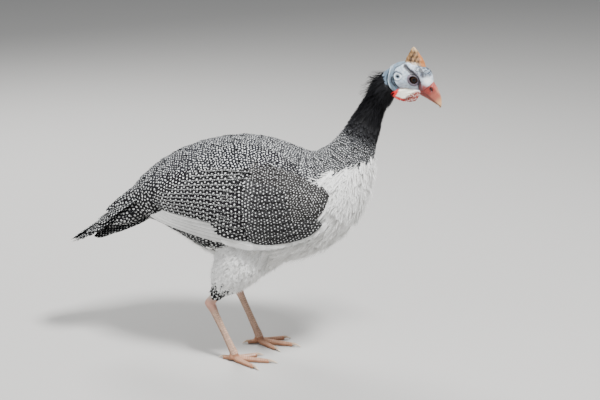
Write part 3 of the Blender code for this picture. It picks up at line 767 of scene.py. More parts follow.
@dataclass(frozen=True)
class PaintedFinish:
    """A surface that shows the colours painted on it, with a fine mottle and relief of its own."""

    name: str
    roughness: float
    cell: float = 0.9
    mottle: float = 0.25
    relief: float = 0.00025
    subsurface: float = 0.0
    coat: float = 0.0
    specular: float = 0.5

    def material(self) -> Material:
        """Makes the material, whose grain has cells of this size in millimetres.

        Returns:
            The material.
        """
        board = Board(self.name)
        places = board.object_places()
        grain = board.noise(places, 1 / (self.cell * MM))
        broad = board.noise(places, 1 / (self.cell * MM * 6), 2.0)
        light = board.math("MULTIPLY_ADD", grain, self.mottle, 1 - self.mottle * 0.75)
        light = board.math("MULTIPLY_ADD", broad, self.mottle, light)
        light = board.math("SUBTRACT", light, self.mottle * 0.25)
        colour = board.mix(1.0, board.read("paint").outputs["Color"], light, "MULTIPLY")
        board.put(board.shader.inputs["Base Color"], colour)
        board.relief(board.math("ADD", grain, broad), 0.6, self.relief)
        board.constant(Roughness=self.roughness, Specular_IOR_Level=self.specular, Coat_Weight=self.coat)
        board.constant(Subsurface_Weight=self.subsurface, Subsurface_Scale=0.0015)
        board.shader.inputs["Subsurface Radius"].default_value = (1.0, 0.45, 0.3)
        return board.material


@dataclass(frozen=True)
class PlumageFinish:
    """Feathers: a dark or white vane with round pearls, bars, a pale shaft and fine barbs.

    Each feather carries its ground colour, its pearls' pitch and size, its marks and its painted shade.
    """

    name: str
    roughness: float = 0.6
    pearl: tuple = (0.82, 0.83, 0.82, 1.0)
    barb: float = 0.07
    bar_pitch: float = 0.26
    drift: float = 0.28

    def spots(self, board: Board, u: object, v: object, sizes: Sequence[Socket]) -> tuple[Socket, Socket]:
        """The pearls, and the dark ring round each.

        Args:
            board: the material.
            u: the place across the feather.
            v: the place along it, from its tip.
            sizes: the pitch of the pearls across and along, and their radius.

        Returns:
            The sockets that say how much of a pearl, and of its ring, is at a place.
        """
        pitch_u, pitch_v, radius = sizes
        row = board.math("DIVIDE", v, pitch_v)
        shift = board.math("FRACT", board.times(board.math("FLOOR", row), 0.5))
        column = board.math("ADD", board.math("DIVIDE", u, pitch_u), shift)
        away_u = board.times(board.math("SUBTRACT", board.math("FRACT", column), 0.5), pitch_u)
        away_v = board.times(board.math("SUBTRACT", board.math("FRACT", row), 0.5), pitch_v)
        squares = board.math("ADD", board.math("POWER", away_u, 2.0), board.math("POWER", away_v, 2.0))
        away = board.math("SQRT", squares)
        spot = board.ramp(away, board.times(radius, 1.15), board.times(radius, 0.8))
        ring = board.ramp(away, board.times(radius, 2.1), board.times(radius, 1.2))
        return spot, ring

    def material(self) -> Material:
        """Makes the material.

        Returns:
            The material.
        """
        board = Board(self.name)
        u, v, _ = board.split(board.node("ShaderNodeUVMap", uv_map="Vane").outputs["UV"])
        across, along, shade = board.split(board.read("norm").outputs["Vector"])
        bars, stipple, seed = board.split(board.read("mark").outputs["Vector"])
        beside, away = board.math("ABSOLUTE", across), board.math("ABSOLUTE", u)
        ground = board.read("ground").outputs["Color"]
        place = board.node("ShaderNodeCombineXYZ")
        for socket, value in zip(place.inputs, (u, v, board.times(seed, 37.0))):
            board.put(socket, value)
        drift = board.noise(place.outputs[0], 2.2, 1.0)
        drift = board.math("MULTIPLY_ADD", drift, self.drift, -self.drift / 2)
        moved_u, moved_v = board.math("ADD", u, drift), board.math("SUBTRACT", v, drift)
        sizes = board.split(board.read("pearls").outputs["Vector"])
        spot, ring = self.spots(board, moved_u, moved_v, sizes)
        inner = board.ramp(beside, 0.98, 0.86)
        spot, ring = board.times(spot, inner), board.times(ring, inner)
        fine = board.ramp(board.noise(place.outputs[0], 14.0, 1.0), 0.5, 0.62)
        fine = board.times(board.times(fine, stipple), board.rest(ring))
        edging = board.times(ring, board.ramp(stipple, 0.0, 0.3))
        colour = board.mix(edging, ground, (0.004, 0.004, 0.006, 1))
        colour = board.mix(fine, colour, self.pearl)
        colour = board.mix(spot, colour, self.pearl)
        slant = board.math("MULTIPLY_ADD", away, 0.9, v)
        stripe = board.math("FRACT", board.math("DIVIDE", slant, self.bar_pitch))
        stripe = board.ramp(board.math("ABSOLUTE", board.math("SUBTRACT", stripe, 0.5)), 0.32, 0.2)
        stripe = board.times(board.times(stripe, bars), board.ramp(across, 0.78, 0.84))
        colour = board.mix(stripe, colour, self.pearl)
        # painted shade: the edges of each feather are darkened towards black, for the shade in the gaps
        # between feathers
        rim = board.times(board.ramp(beside, 0.88, 0.99), 0.7)
        colour = board.mix(rim, colour, board.mix(0.75, ground, (0.0, 0.0, 0.0, 1)))
        shaft = board.ramp(away, 0.05, 0.02)
        shaft = board.times(shaft, board.ramp(beside, 0.3, 0.15))
        shaft = board.times(board.times(shaft, 0.5), board.ramp(along, 0.98, 0.7))
        colour = board.mix(shaft, colour, board.mix(1.0, ground, (0.62, 0.56, 0.48, 1), "MULTIPLY"))
        slope = board.math("MULTIPLY_ADD", away, 0.7, v)
        comb = board.math("SINE", board.times(slope, 2 * math.pi / self.barb))
        cloud = board.noise(place.outputs[0], 2.5, 2.0)
        light = board.math("MULTIPLY_ADD", comb, 0.05, board.math("MULTIPLY_ADD", cloud, 0.3, 0.83))
        # painted shade: each feather is darkened, by its shade value, near its root where the feathers over
        # it cover it
        hidden = board.times(shade, board.rest(board.ramp(along, 0.66, 0.94)))
        light = board.times(light, board.rest(hidden))
        colour = board.mix(1.0, colour, light, "MULTIPLY")
        board.put(board.shader.inputs["Base Color"], colour)
        board.relief(board.math("MULTIPLY_ADD", spot, 0.6, comb), 0.35, 0.00025)
        board.constant(Roughness=self.roughness, Specular_IOR_Level=0.1)
        return board.material


@dataclass(frozen=True)
class GroundFinish:
    """The plain pale floor, with faint clouds of a darker shade."""

    colour: tuple = (0.4, 0.393, 0.38, 1.0)
    cloud: tuple = (0.34, 0.333, 0.325, 1.0)

    def material(self) -> Material:
        """Makes the material.

        Returns:
            The material.
        """
        board = Board("studio_floor")
        share = board.times(board.noise(board.object_places(), 3.0), 0.1)
        board.put(board.shader.inputs["Base Color"], board.mix(share, self.colour, self.cloud))
        board.constant(Roughness=0.85, Specular_IOR_Level=0.2)
        return board.material


@dataclass
class Limb:
    """A solid through oval sections along a bone: middle, direction, half sizes sideways and fore-and-aft."""

    stations: list

    def place(self, share: Array, turn: Array) -> Array:
        """Where a mapped ball's points lie on the limb.

        Args:
            share: the share of the way from end to end.
            turn: the angle round.

        Returns:
            The points.
        """
        table = []
        for middle, ahead, wide, deep in self.stations:
            table.append((*middle, *Vector(ahead).normalized(), wide, deep))
        length, full = capped(share, 0.04)
        rows = smooth_rows(table, length * (len(table) - 1))
        ahead = unit(rows[:, 3:6])
        aside = unit(np.array([0.0, 1.0, 0.0]) - ahead * ahead[:, 1:2])
        fore = np.cross(aside, ahead)
        wide, deep = rows[:, 6] * full * np.cos(turn), rows[:, 7] * full * np.sin(turn)
        return rows[:, :3] + aside * wide[:, None] + fore * deep[:, None]


@dataclass(frozen=True)
class LegForm:
    """The leg's joints and girths, the same as in the solids."""

    foot_x: dict = field(default_factory=lambda: {1: -12.0, -1: -32.0})
    foot_y: float = 31.0
    foot_z: float = 12.5
    hock: tuple = (30.0, 33.0, 81.0)
    knee: tuple = (62.0, 38.0, 172.0)
    shank: tuple = (4.3, 5.2)
    waist: float = 0.8
    bare_thigh: float = 17.0
    thigh: tuple = ((24, 9.5, 11), (36, 13.5, 18), (52, 18, 25), (68, 21, 30), (84, 22, 32), (110, 19, 28))
    toes: dict = field(
        default_factory=lambda: {
            "inner": (-34.0, 33.0, 4.2, 6.3),
            "middle": (-2.0, 48.0, 4.7, 6.5),
            "outer": (31.0, 37.0, 4.2, 6.3),
            "hind": (196.0, 15.0, 3.4, 4.6),
        }
    )
    claws: dict = field(default_factory=lambda: {"inner": 10.0, "middle": 12.0, "outer": 10.0, "hind": 8.0})
    toe_tip: float = 2.9
    toe_cap: float = 0.06
    toe_inset: float = 5.0
    hock_size: float = 9.0

    def joints(self, side: Side) -> tuple[Vector, Vector, Vector]:
        """The ankle above the toes, the hock and the hidden knee.

        Args:
            side: the side of the bird.

        Returns:
            The three places.
        """
        x = self.foot_x[side]
        back, hock_y, hock_z = self.hock
        forward, knee_y, knee_z = self.knee
        return (
            Vector((x, side * self.foot_y, self.foot_z)),
            Vector((x - back, side * hock_y, hock_z)),
            Vector((x - back + forward, side * knee_y, knee_z)),
        )

    def heading(self, side: Side, name: str) -> Vector:
        """Which way a toe points along the floor."""
        turn = math.radians(self.toes[name][0]) * side
        return Vector((math.cos(turn), math.sin(turn), 0))

    def toe_place(self, side: Side, name: str) -> Place:
        """A toe on its pads, as a mapped ball.

        Args:
            side: the side of the bird.
            name: the toe.

        Returns:
            The function that places a mapped ball's points.
        """
        ankle = self.joints(side)[0]
        heading = self.heading(side, name)
        _, length, root, height = self.toes[name]
        sideways = np.array([-heading.y, heading.x, 0])
        pads = 2 if length < 20 else round(length / 11)

        def place(share: Array, turn: Array) -> Array:
            """Points of the toe.

            Args:
                share: the share of the way from end to end.
                turn: the angle round.

            Returns:
                The points.
            """
            along, full = capped(share, self.toe_cap)
            swell = 0.35 * np.cos(2 * math.pi * pads * along)
            wide = root + (self.toe_tip - root) * along
            middle = wide * 0.78 + (height - wide * 0.78) * np.maximum(0, 1 - along * length / 14) ** 1.5
            below = np.sin(turn) < 0
            tall = wide * 0.95 * full + np.where(below, swell, 0.12 * swell) * full
            ahead = along * (length + self.toe_inset) - self.toe_inset
            reach = np.array(ankle.to_tuple()) * [1, 1, 0] + np.outer(ahead, heading)
            points = reach + np.outer((wide + swell * 0.5) * full * np.cos(turn), sideways)
            points[:, 2] = np.maximum(middle + tall * np.sin(turn), 0.12)
            return points

        return place


LEG = LegForm()


def applied(piece: Piece) -> Piece:
    """Turns a piece's modifiers into its mesh.

    Args:
        piece: the piece.

    Returns:
        The piece.
    """
    bpy.context.view_layer.update()
    graph = bpy.context.evaluated_depsgraph_get()
    mesh = bpy.data.meshes.new_from_object(piece.evaluated_get(graph))
    piece.modifiers.clear()
    piece.data = mesh
    return piece


def remeshed(piece: Piece, voxel: float, smooth: int) -> Piece:
    """Melts a piece's overlapping bodies into one even surface.

    Args:
        piece: the piece.
        voxel: the size of its new faces in millimetres.
        smooth: how many times it is smoothed.

    Returns:
        The piece with its new mesh.
    """
    melt = piece.modifiers.new("melt", "REMESH")
    melt.mode = "VOXEL"
    melt.voxel_size = voxel * MM
    soften = piece.modifiers.new("soften", "SMOOTH")
    soften.factor, soften.iterations = 0.5, smooth
    return applied(piece)


def fused(piece: Piece, others: Sequence[Piece]) -> Piece:
    """Joins closed pieces to another and removes them.

    Args:
        piece: the piece that stays.
        others: the pieces that are joined to it.

    Returns:
        The piece.
    """
    for other in others:
        join = piece.modifiers.new("join", "BOOLEAN")
        join.operation, join.solver, join.object = "UNION", "MANIFOLD", other
    applied(piece)
    for other in others:
        bpy.data.objects.remove(other)
    return piece


@dataclass(frozen=True)
class WingChart:
    """Places on the folded wing: back from the wrist, degrees round from the back line, and lift."""

    wrist: float = 6.95
    past: float = -0.9
    back: tuple = (0, 8, 22, 40, 55, 75, 100, 120, 140)
    top: tuple = (80, 64, 52, 44, 41, 39, 39, 41, 46)
    low: tuple = (100, 110, 117, 120, 121, 121, 121, 119, 114)
    thick: tuple = (2.5, 8, 12.5, 13.2, 11, 8.2, 5.6, 3.2, 1.5)

    def run(self, count: int) -> tuple[Array, Array]:
        """Even stations of the trunk's flank.

        Args:
            count: how many there are.

        Returns:
            The stations, and how far back from the wrist each lies.
        """
        t = np.linspace(self.wrist, self.past, count)
        line = TRUNK.point(t, np.full(count, math.pi / 2))
        return t, np.concatenate([[0.0], np.cumsum(np.linalg.norm(np.diff(line, axis=0), axis=1))])

    def stations(self, back: Array) -> Array:
        """The trunk's station this far back from the wrist along the flank."""
        t, run = self.run(100)
        return np.interp(back, run, t)

    def point(self, side: Side, back: Array, girth: Array, lift: Array) -> Array:
        """Points of the wing of one side."""
        t, angle = self.stations(back), side * np.radians(girth)
        return TRUNK.point(t, angle) + self.out(side, back, girth) * np.asarray(lift)[..., None]

    def out(self, side: Side, back: Array, girth: Array) -> Array:
        """The wing's outward direction."""
        return TRUNK.out(self.stations(back), side * np.radians(girth))

    def pad(self, back: Array, share: Array) -> Array:
        """How thick the arm is, at a share of the way from its upper to its lower edge."""
        return np.interp(back, self.back, self.thick) * (1 - (2 * share - 1) ** 4)


WING = WingChart()


@dataclass(frozen=True)
class TailChart:
    """Places on the tail: back from its root, arc over the arched fan, and height above it."""

    droop: float = 33.0
    arch: float = 60.0
    rise: float = 3.0
    core: tuple = (
        (-14, 27, 25, 22),
        (0.3, 27, 25, 22),
        (12, 27, 22, 21),
        (30, 26, 13, 14),
        (45, 22, 7, 8),
        (54, 14, 2.5, 3.5),
    )

    def root_rows(self, station: Array) -> Array:
        """The sections of the fleshy root at stations of its table.

        Args:
            station: stations of the table.

        Returns:
            Rows for ovals.
        """
        sizes = smooth_rows(self.core, station)
        droop = math.radians(self.droop)
        x, z, lean = TRUNK.rows[0][:3]
        back = sizes[..., 0]
        middle = [x - back * math.cos(droop), z - back * math.sin(droop), np.full(back.shape, lean)]
        return np.concatenate([np.stack(middle, -1), sizes[..., 1:]], -1)

    def root(self, back: Array, angle: Array, lift: Array) -> Array:
        """Points round the fleshy root, this far back and at this angle from its top."""
        table = np.array(self.core)[:, 0]
        return oval(self.root_rows(np.interp(back, table, np.arange(len(table)))), angle, lift)

    def point(self, back: Array, over: Array, lift: Array) -> Array:
        """Points of the tail.

        Args:
            back: distances back from the root.
            over: arcs from the middle to the left.
            lift: heights above the fan.

        Returns:
            The points.
        """
        droop = math.radians(self.droop)
        turn = over / self.arch
        rise = (self.arch + lift) * np.cos(turn) - self.arch + self.rise
        aside = (self.arch + lift) * np.sin(turn)
        x, z = TRUNK.rows[0][:2]
        x = x - back * math.cos(droop) - rise * math.sin(droop)
        z = z - back * math.sin(droop) + rise * math.cos(droop)
        return np.stack([x, aside, z], -1)

    def out(self, over: Array) -> Array:
        """The fan's upward direction."""
        droop, turn = math.radians(self.droop), over / self.arch
        return np.stack([-np.cos(turn) * math.sin(droop), np.sin(turn), np.cos(turn) * math.cos(droop)], -1)


TAIL = TailChart()


@dataclass(frozen=True)
class Nape:
    """The folds of skin behind the ear: arcs round a middle on the cheek, in the head's frame."""

    middle: tuple = (-3.7, 4.9)
    first: float = 16.4
    pitch: float = 7.6
    crease: float = 2.5

    def read(self, x: Array, z: Array) -> tuple[Array, Array]:
        """Where points lie among the folds.

        Args:
            x: places along the head.
            z: heights.

        Returns:
            How far each belongs to the nape, and how high it is on its fold, both from 0 to 1.
        """
        reach = np.hypot(x - self.middle[0], z - self.middle[1]) + 0.7 * np.sin(z / 3.4 + x / 5.0)
        share = ((reach - self.first) / self.pitch) % 1.0
        fine = 0.5 + 0.5 * np.sin(2 * math.pi * reach / self.crease + 1.3 * np.sin(z / 2.1))
        crest = np.minimum(share, 1) ** 0.8 * ramp(share, 1.0, 0.86) * 0.85 + 0.15 * fine
        return ramp(reach, self.first - 1.2, self.first + 0.4) * ramp(x, -6, -10), crest


NAPE = Nape()


@dataclass
class Skin:
    """The skin in one piece: bare on the face and legs, and the bed that the coat grows from elsewhere."""

    shop: Shop
    depth: float = 5.0
    neck_depth: float = 3.0
    voxel: float = 2.2
    leg_voxel: float = 0.8
    head_faces: tuple = (168, 150)
    replaced: tuple = ("torso", "neck_lower", "neck_upper", "head")
    replaced_each: tuple = ("thigh_", "shank_", "foot_")

    def inset(self, t: Array) -> Array:
        """How deep the skin lies under the coat at stations of the trunk."""
        return self.depth + (self.neck_depth - self.depth) * ramp(t, 8.5, 11.0)

    def trunk_place(self, share: Array, turn: Array) -> Array:
        """The trunk as a mapped ball.

        Args:
            share: the share of the way from end to end.
            turn: the angle round.

        Returns:
            The points.
        """
        length, full = capped(share, 0.04)
        t = length * TRUNK.end
        rows = TRUNK.at(t)
        rows[..., 3:] = (rows[..., 3:] - self.inset(t)[..., None]) * full[..., None]
        return oval(rows, turn)

    def tail_place(self, share: Array, turn: Array) -> Array:
        """The fleshy root of the tail as a mapped ball.

        Args:
            share: the share of the way from end to end.
            turn: the angle round.

        Returns:
            The points.
        """
        length, full = capped(share, 0.05)
        rows = TAIL.root_rows(length * (len(TAIL.core) - 1))
        rows[:, 3:] = np.maximum(rows[:, 3:] - self.depth * 0.8, 1.5) * full[:, None]
        return oval(rows, turn)

    def arm_place(self, side: Side) -> Place:
        """The arm of the folded wing as a mapped ball.

        Args:
            side: the side of the bird.

        Returns:
            The function that places a mapped ball's points.
        """

        def place(share: Array, turn: Array) -> Array:
            """Points of the arm.

            Args:
                share: the share of the way from end to end.
                turn: the angle round.

            Returns:
                The points.
            """
            length, full = capped(share, 0.12)
            back = 14 + 108 * length
            top, low = np.interp(back, WING.back, WING.top) + 12, np.interp(back, WING.back, WING.low) - 8
            girth = (top + low) / 2 + (low - top) / 2 * full * np.cos(turn)
            thick = np.maximum(np.interp(back, WING.back, WING.thick) - 7.0, 0.0)
            return WING.point(side, back, girth, -5 + (thick + 5) * (0.5 + 0.5 * full * np.sin(turn)))

        return place

    def thigh(self, side: Side) -> Limb:
        """The feathered thigh without its coat.

        Args:
            side: the side of the bird.

        Returns:
            Its form.
        """
        _, hock, knee = LEG.joints(side)
        bone = (knee - hock).normalized()
        rows = ((LEG.bare_thigh - 4, 5.0, 5.8), (LEG.bare_thigh + 3, 5.6, 6.6), *LEG.thigh)
        thin = (0.0, 0.6, 3.2, *([self.depth] * (len(rows) - 3)))
        stations = []
        for (reach, wide, deep), less in zip(rows, thin):
            stations.append((hock + bone * reach, bone, wide - less, deep - less))
        return Limb(stations)

    def shank(self, side: Side) -> Limb:
        """The bare shank, the hock and the bare end of the thigh.

        Args:
            side: the side of the bird.

        Returns:
            Its form.
        """
        ankle, hock, knee = LEG.joints(side)
        shin, bone = (hock - ankle).normalized(), (knee - hock).normalized()
        wide, deep = LEG.shank
        length = (hock - ankle).length
        stations = []
        for k in range(9):
            share = k / 9
            waist = LEG.waist * math.sin(math.pi * share)
            place = ankle + shin * (length - LEG.hock_size) * share
            stations.append((place, shin, wide - waist, deep - waist))
        stations.append((hock - shin * 6, shin, 5.4, 6.2))
        stations.append((hock, shin + bone, 6.1, 7.0))
        stations.append((hock + bone * 7, bone, 5.7, 6.4))
        stations.append((hock + bone * LEG.bare_thigh, bone, 5.1, 5.9))
        stations.append((hock + bone * 34, bone, 4.5, 5.2))
        return Limb(stations)

    def leg(self, side: Side) -> Piece:
        """One bare leg with its foot.

        Args:
            side: the side of the bird.

        Returns:
            The leg as an object of its own.
        """
        ankle, hock, _ = LEG.joints(side)
        shin = (hock - ankle).normalized()
        sizes = ((6, 4.2, 5.1), (-1, 4.6, 5.4), (-5, 4.6, 5.0), (-8, 4.0, 4.6))
        root = Limb([(ankle + shin * rise, shin, wide, deep) for rise, wide, deep in sizes])
        shape = mapped_ball(40, 90, self.shank(side).place)
        parts = [mapped_ball(32, 24, root.place)]
        parts += [mapped_ball(28, 48, LEG.toe_place(side, name)) for name in LEG.toes]
        merge(shape, parts)
        return remeshed(self.shop.from_bmesh(shape, "leg"), self.leg_voxel, 3)

    def body(self) -> Piece:
        """Trunk, tail root, arms and thighs as one even surface.

        Returns:
            The body as an object of its own.
        """
        shape = mapped_ball(96, 140, self.trunk_place)
        parts = [mapped_ball(48, 32, self.tail_place)]
        for side in Side:
            parts.append(mapped_ball(32, 48, self.arm_place(side)))
            parts.append(mapped_ball(48, 48, self.thigh(side).place))
        merge(shape, parts)
        return remeshed(self.shop.from_bmesh(shape, "skin"), self.voxel, 6)

    def head_rows(self) -> Array:
        """The head's sections, with two more inside the neck.

        Returns:
            Rows for ovals.
        """
        rows = []
        for t, less in ((11.0, 5.0), (12.0, 0.8)):
            row = list(TRUNK.at(np.array(t)))
            spot = HEAD.matrix().inverted() @ Vector((row[0], 0, row[1]))
            rows.append([spot.x, spot.z, row[2] - HEAD.pitch, *(size - less for size in row[3:])])
        return np.array([*rows, *HEAD.rows], float)

    def head_place(self, share: Array, turn: Array) -> Array:
        """The skull and face with their folds, in the head's frame.

        Args:
            share: the share of the way from end to end.
            turn: the angle round.

        Returns:
            The points.
        """
        length, full = capped(share, 0.035)
        table = self.head_rows()
        rows = smooth_rows(table, length * (len(table) - 1))
        centre = oval(np.concatenate([rows[:, :3], np.full((len(rows), 3), 1e-3)], 1), turn)
        rows[:, 3:] *= full[:, None]
        points = oval(rows, turn)
        points += unit(points - centre) * (self.folds(points) * full)[:, None]
        points[:, 1] += np.sign(points[:, 1]) * self.eye_relief(points)
        return points

    def folds(self, points: Array) -> Array:
        """How far the skin of the nape, cheek and ear stands out.

        Args:
            points: points in the head's frame.

        Returns:
            One distance a point.
        """
        x, y, z = points.T
        inside, crest = NAPE.read(x, z)
        from_ear = HEAD.ear_reach(x, z)
        aside = ramp(np.abs(y), 8, 12)
        ear = 0.9 * bump(from_ear - 3.5, 0.8) - 0.5 * ramp(from_ear, 3.0, 2.4)
        ear = ear - 1.8 * ramp(from_ear, 1.7, 0.9) - 0.5 * bump(from_ear - 5.2, 0.6)
        pores = 0.12 * np.sin(x * 2.9 + np.sin(z * 1.9)) * np.sin(z * 3.1 + np.sin(x * 2.3))
        jaw = 0.9 * bump(z + 9 + 0.25 * (x - 8), 2.6) * ramp(x, 18, 10) * ramp(x, -6, 2)
        brow = 0.7 * bump(FACE.line_reach(x, z), 1.6) * ramp(x, 20, 12)
        return 2.4 * (crest - 0.5) * inside + ear * aside + pores * (1 - inside) + (jaw - brow) * aside

    def eye_relief(self, points: Array) -> Array:
        """How far the lids and the socket move the skin sideways.

        Args:
            points: points in the head's frame.

        Returns:
            One distance a point.
        """
        x, y, z = points.T
        ex, _, ez = HEAD.eye
        over = ramp(z - ez, -1, 3)
        reach = HEAD.eye_reach(x, z)
        away = ramp(np.abs(y), 5, 8)
        lid = (0.95 + 0.35 * over) * bump(reach - 5.3, 0.8)
        socket = -4.6 * ramp(reach, 4.85, 4.35)
        groove = -0.45 * bump(reach - 6.7, 0.55) + 0.25 * bump(reach - 7.9, 0.6)
        groove = groove - 0.25 * bump(reach - 9.1, 0.6)
        wrinkle = 0.12 * np.sin(13 * np.arctan2(z - ez, x - ex)) * bump(reach - 5.4, 1.2)
        return (lid + socket + groove + wrinkle) * away

    def build(self) -> Piece:
        """Makes the skin.

        Returns:
            The skin, fixed to the body and painted.
        """
        piece = self.body()
        head = mapped_ball(*self.head_faces, self.head_place)
        others = [self.shop.from_bmesh(head, "head_skin", HEAD.matrix())]
        others += [self.leg(side) for side in Side]
        fused(piece, others)
        piece.data.shade_smooth()
        self.colour(piece)
        sides = [stem + side.word for stem in self.replaced_each for side in Side]
        return self.shop.fit(piece, Slot.FACE, (*self.replaced, *sides))

    def colour(self, piece: Piece) -> None:
        """Paints the face and legs, and the coat's bed: black, and grey painted shade under the white coat.

        Args:
            piece: the skin.
        """
        points = self.shop.from_frame(points_of(piece.data))
        head = moved(points, HEAD.matrix().inverted())
        colours = one_colour((0.006, 0.006, 0.007), len(points))
        # painted shade: the bed is grey, not white, under the white coat, so the gaps between plumes read as
        # shade
        colours = mixed(colours, (0.4, 0.4, 0.4), ramp(COAT_MAP.white(points), 0.4, 0.6))
        face = ramp(FACE.past_edge(head), -1.2, 0.8)
        colours = colours + (FACE.colours(head) - colours) * face[:, None]
        leg = ramp(points[:, 2], 108, 104) * ramp(np.abs(points[:, 1]), 2, 5)
        colours = colours + (self.leg_colours(points) - colours) * leg[:, None]
        paint(piece.data, colours)
        piece.data.materials.clear()
        finish = PaintedFinish("bare_skin", 0.5, 0.7, 0.22, 0.0002, 0.12, specular=0.3)
        piece.data.materials.append(finish.material())

    @staticmethod
    def leg_colours(points: Array) -> Array:
        """Pinkish shanks and browner toes.

        Args:
            points: points in the bird's frame.

        Returns:
            One colour a point.
        """
        z = points[:, 2]
        colours = one_colour((0.42, 0.26, 0.19), len(points))
        colours = mixed(colours, (0.32, 0.155, 0.09), ramp(z, 30, 8))
        colours = mixed(colours, (0.46, 0.26, 0.2), bump(z - 80, 9))
        return mixed(colours, (0.58, 0.5, 0.45), ramp(z, 84, 94))


def merge(shape: Shape, parts: Sequence[Shape]) -> None:
    """Adds the faces of other shapes to a shape and frees them.

    Args:
        shape: the shape that grows.
        parts: the shapes that it takes up.
    """
    for part in parts:
        mesh = bpy.data.meshes.new("part")
        part.to_mesh(mesh)
        part.free()
        shape.from_mesh(mesh)
        bpy.data.meshes.remove(mesh)


def from_line(x: Array, z: Array, line: Sequence[Sequence[float]]) -> Array:
    """How far points lie from a line through these places, seen from the side.

    Args:
        x: places along the head.
        z: heights.
        line: the places that the line joins.

    Returns:
        One distance a point.
    """
    nearest = np.full(x.shape, 1e9)
    for (x0, z0), (x1, z1) in zip(line, line[1:]):
        run = (x1 - x0) ** 2 + (z1 - z0) ** 2
        share = np.clip(((x - x0) * (x1 - x0) + (z - z0) * (z1 - z0)) / run, 0, 1)
        nearest = np.minimum(nearest, np.hypot(x - x0 - share * (x1 - x0), z - z0 - share * (z1 - z0)))
    return nearest


@dataclass(frozen=True)
class CoatMap:
    """Where the coat is white: below an edge, in degrees from the back line at stations of the trunk."""

    stations: tuple = (0, 0.7, 1.3, 2, 3, 4, 5, 6, 7, 7.7, 8.2, 8.7, 9.1, 9.4)
    edge: tuple = (148, 152, 166, 162, 152, 132, 104, 88, 76, 73, 84, 112, 150, 190)

    def chart(self, points: Array) -> tuple[Array, Array]:
        """The trunk's station and the angle round it nearest to each point.

        Args:
            points: points in the bird's frame.

        Returns:
            Stations, and angles in radians.
        """
        best = np.full(len(points), 1e9)
        station, angle = np.zeros(len(points)), np.zeros(len(points))
        for t in np.linspace(0, TRUNK.end, 97):
            x, z, pitch, wide, up, down = TRUNK.at(t)
            lean = math.radians(pitch)
            dx, dz = points[:, 0] - x, points[:, 2] - z
            off = np.abs(dx * math.cos(lean) + dz * math.sin(lean))
            rise = -dx * math.sin(lean) + dz * math.cos(lean)
            over = np.maximum(np.abs(rise) / (1.35 * (up + down) / 2) - 1, 0)
            score = off + 60 * over
            better = score < best
            best[better], station[better] = score[better], t
            turn = np.arctan2(points[:, 1] / wide, rise / np.where(rise > 0, up, down))
            angle[better] = turn[better]
        return station, angle

    def white_at(self, t: Array, angle: Array) -> Array:
        """How white the coat is at stations and angles, from 0 to 1."""
        edge = np.interp(t, self.stations, self.edge)
        return ramp(np.abs(np.degrees(angle)) - edge, -7, 7)

    def white(self, points: Array) -> Array:
        """How white the coat is over points of the skin."""
        low = ramp(points[:, 2], 150, 138) * ramp(points[:, 0], -90, -70)
        return np.maximum(self.white_at(*self.chart(points)), low)


COAT_MAP = CoatMap()


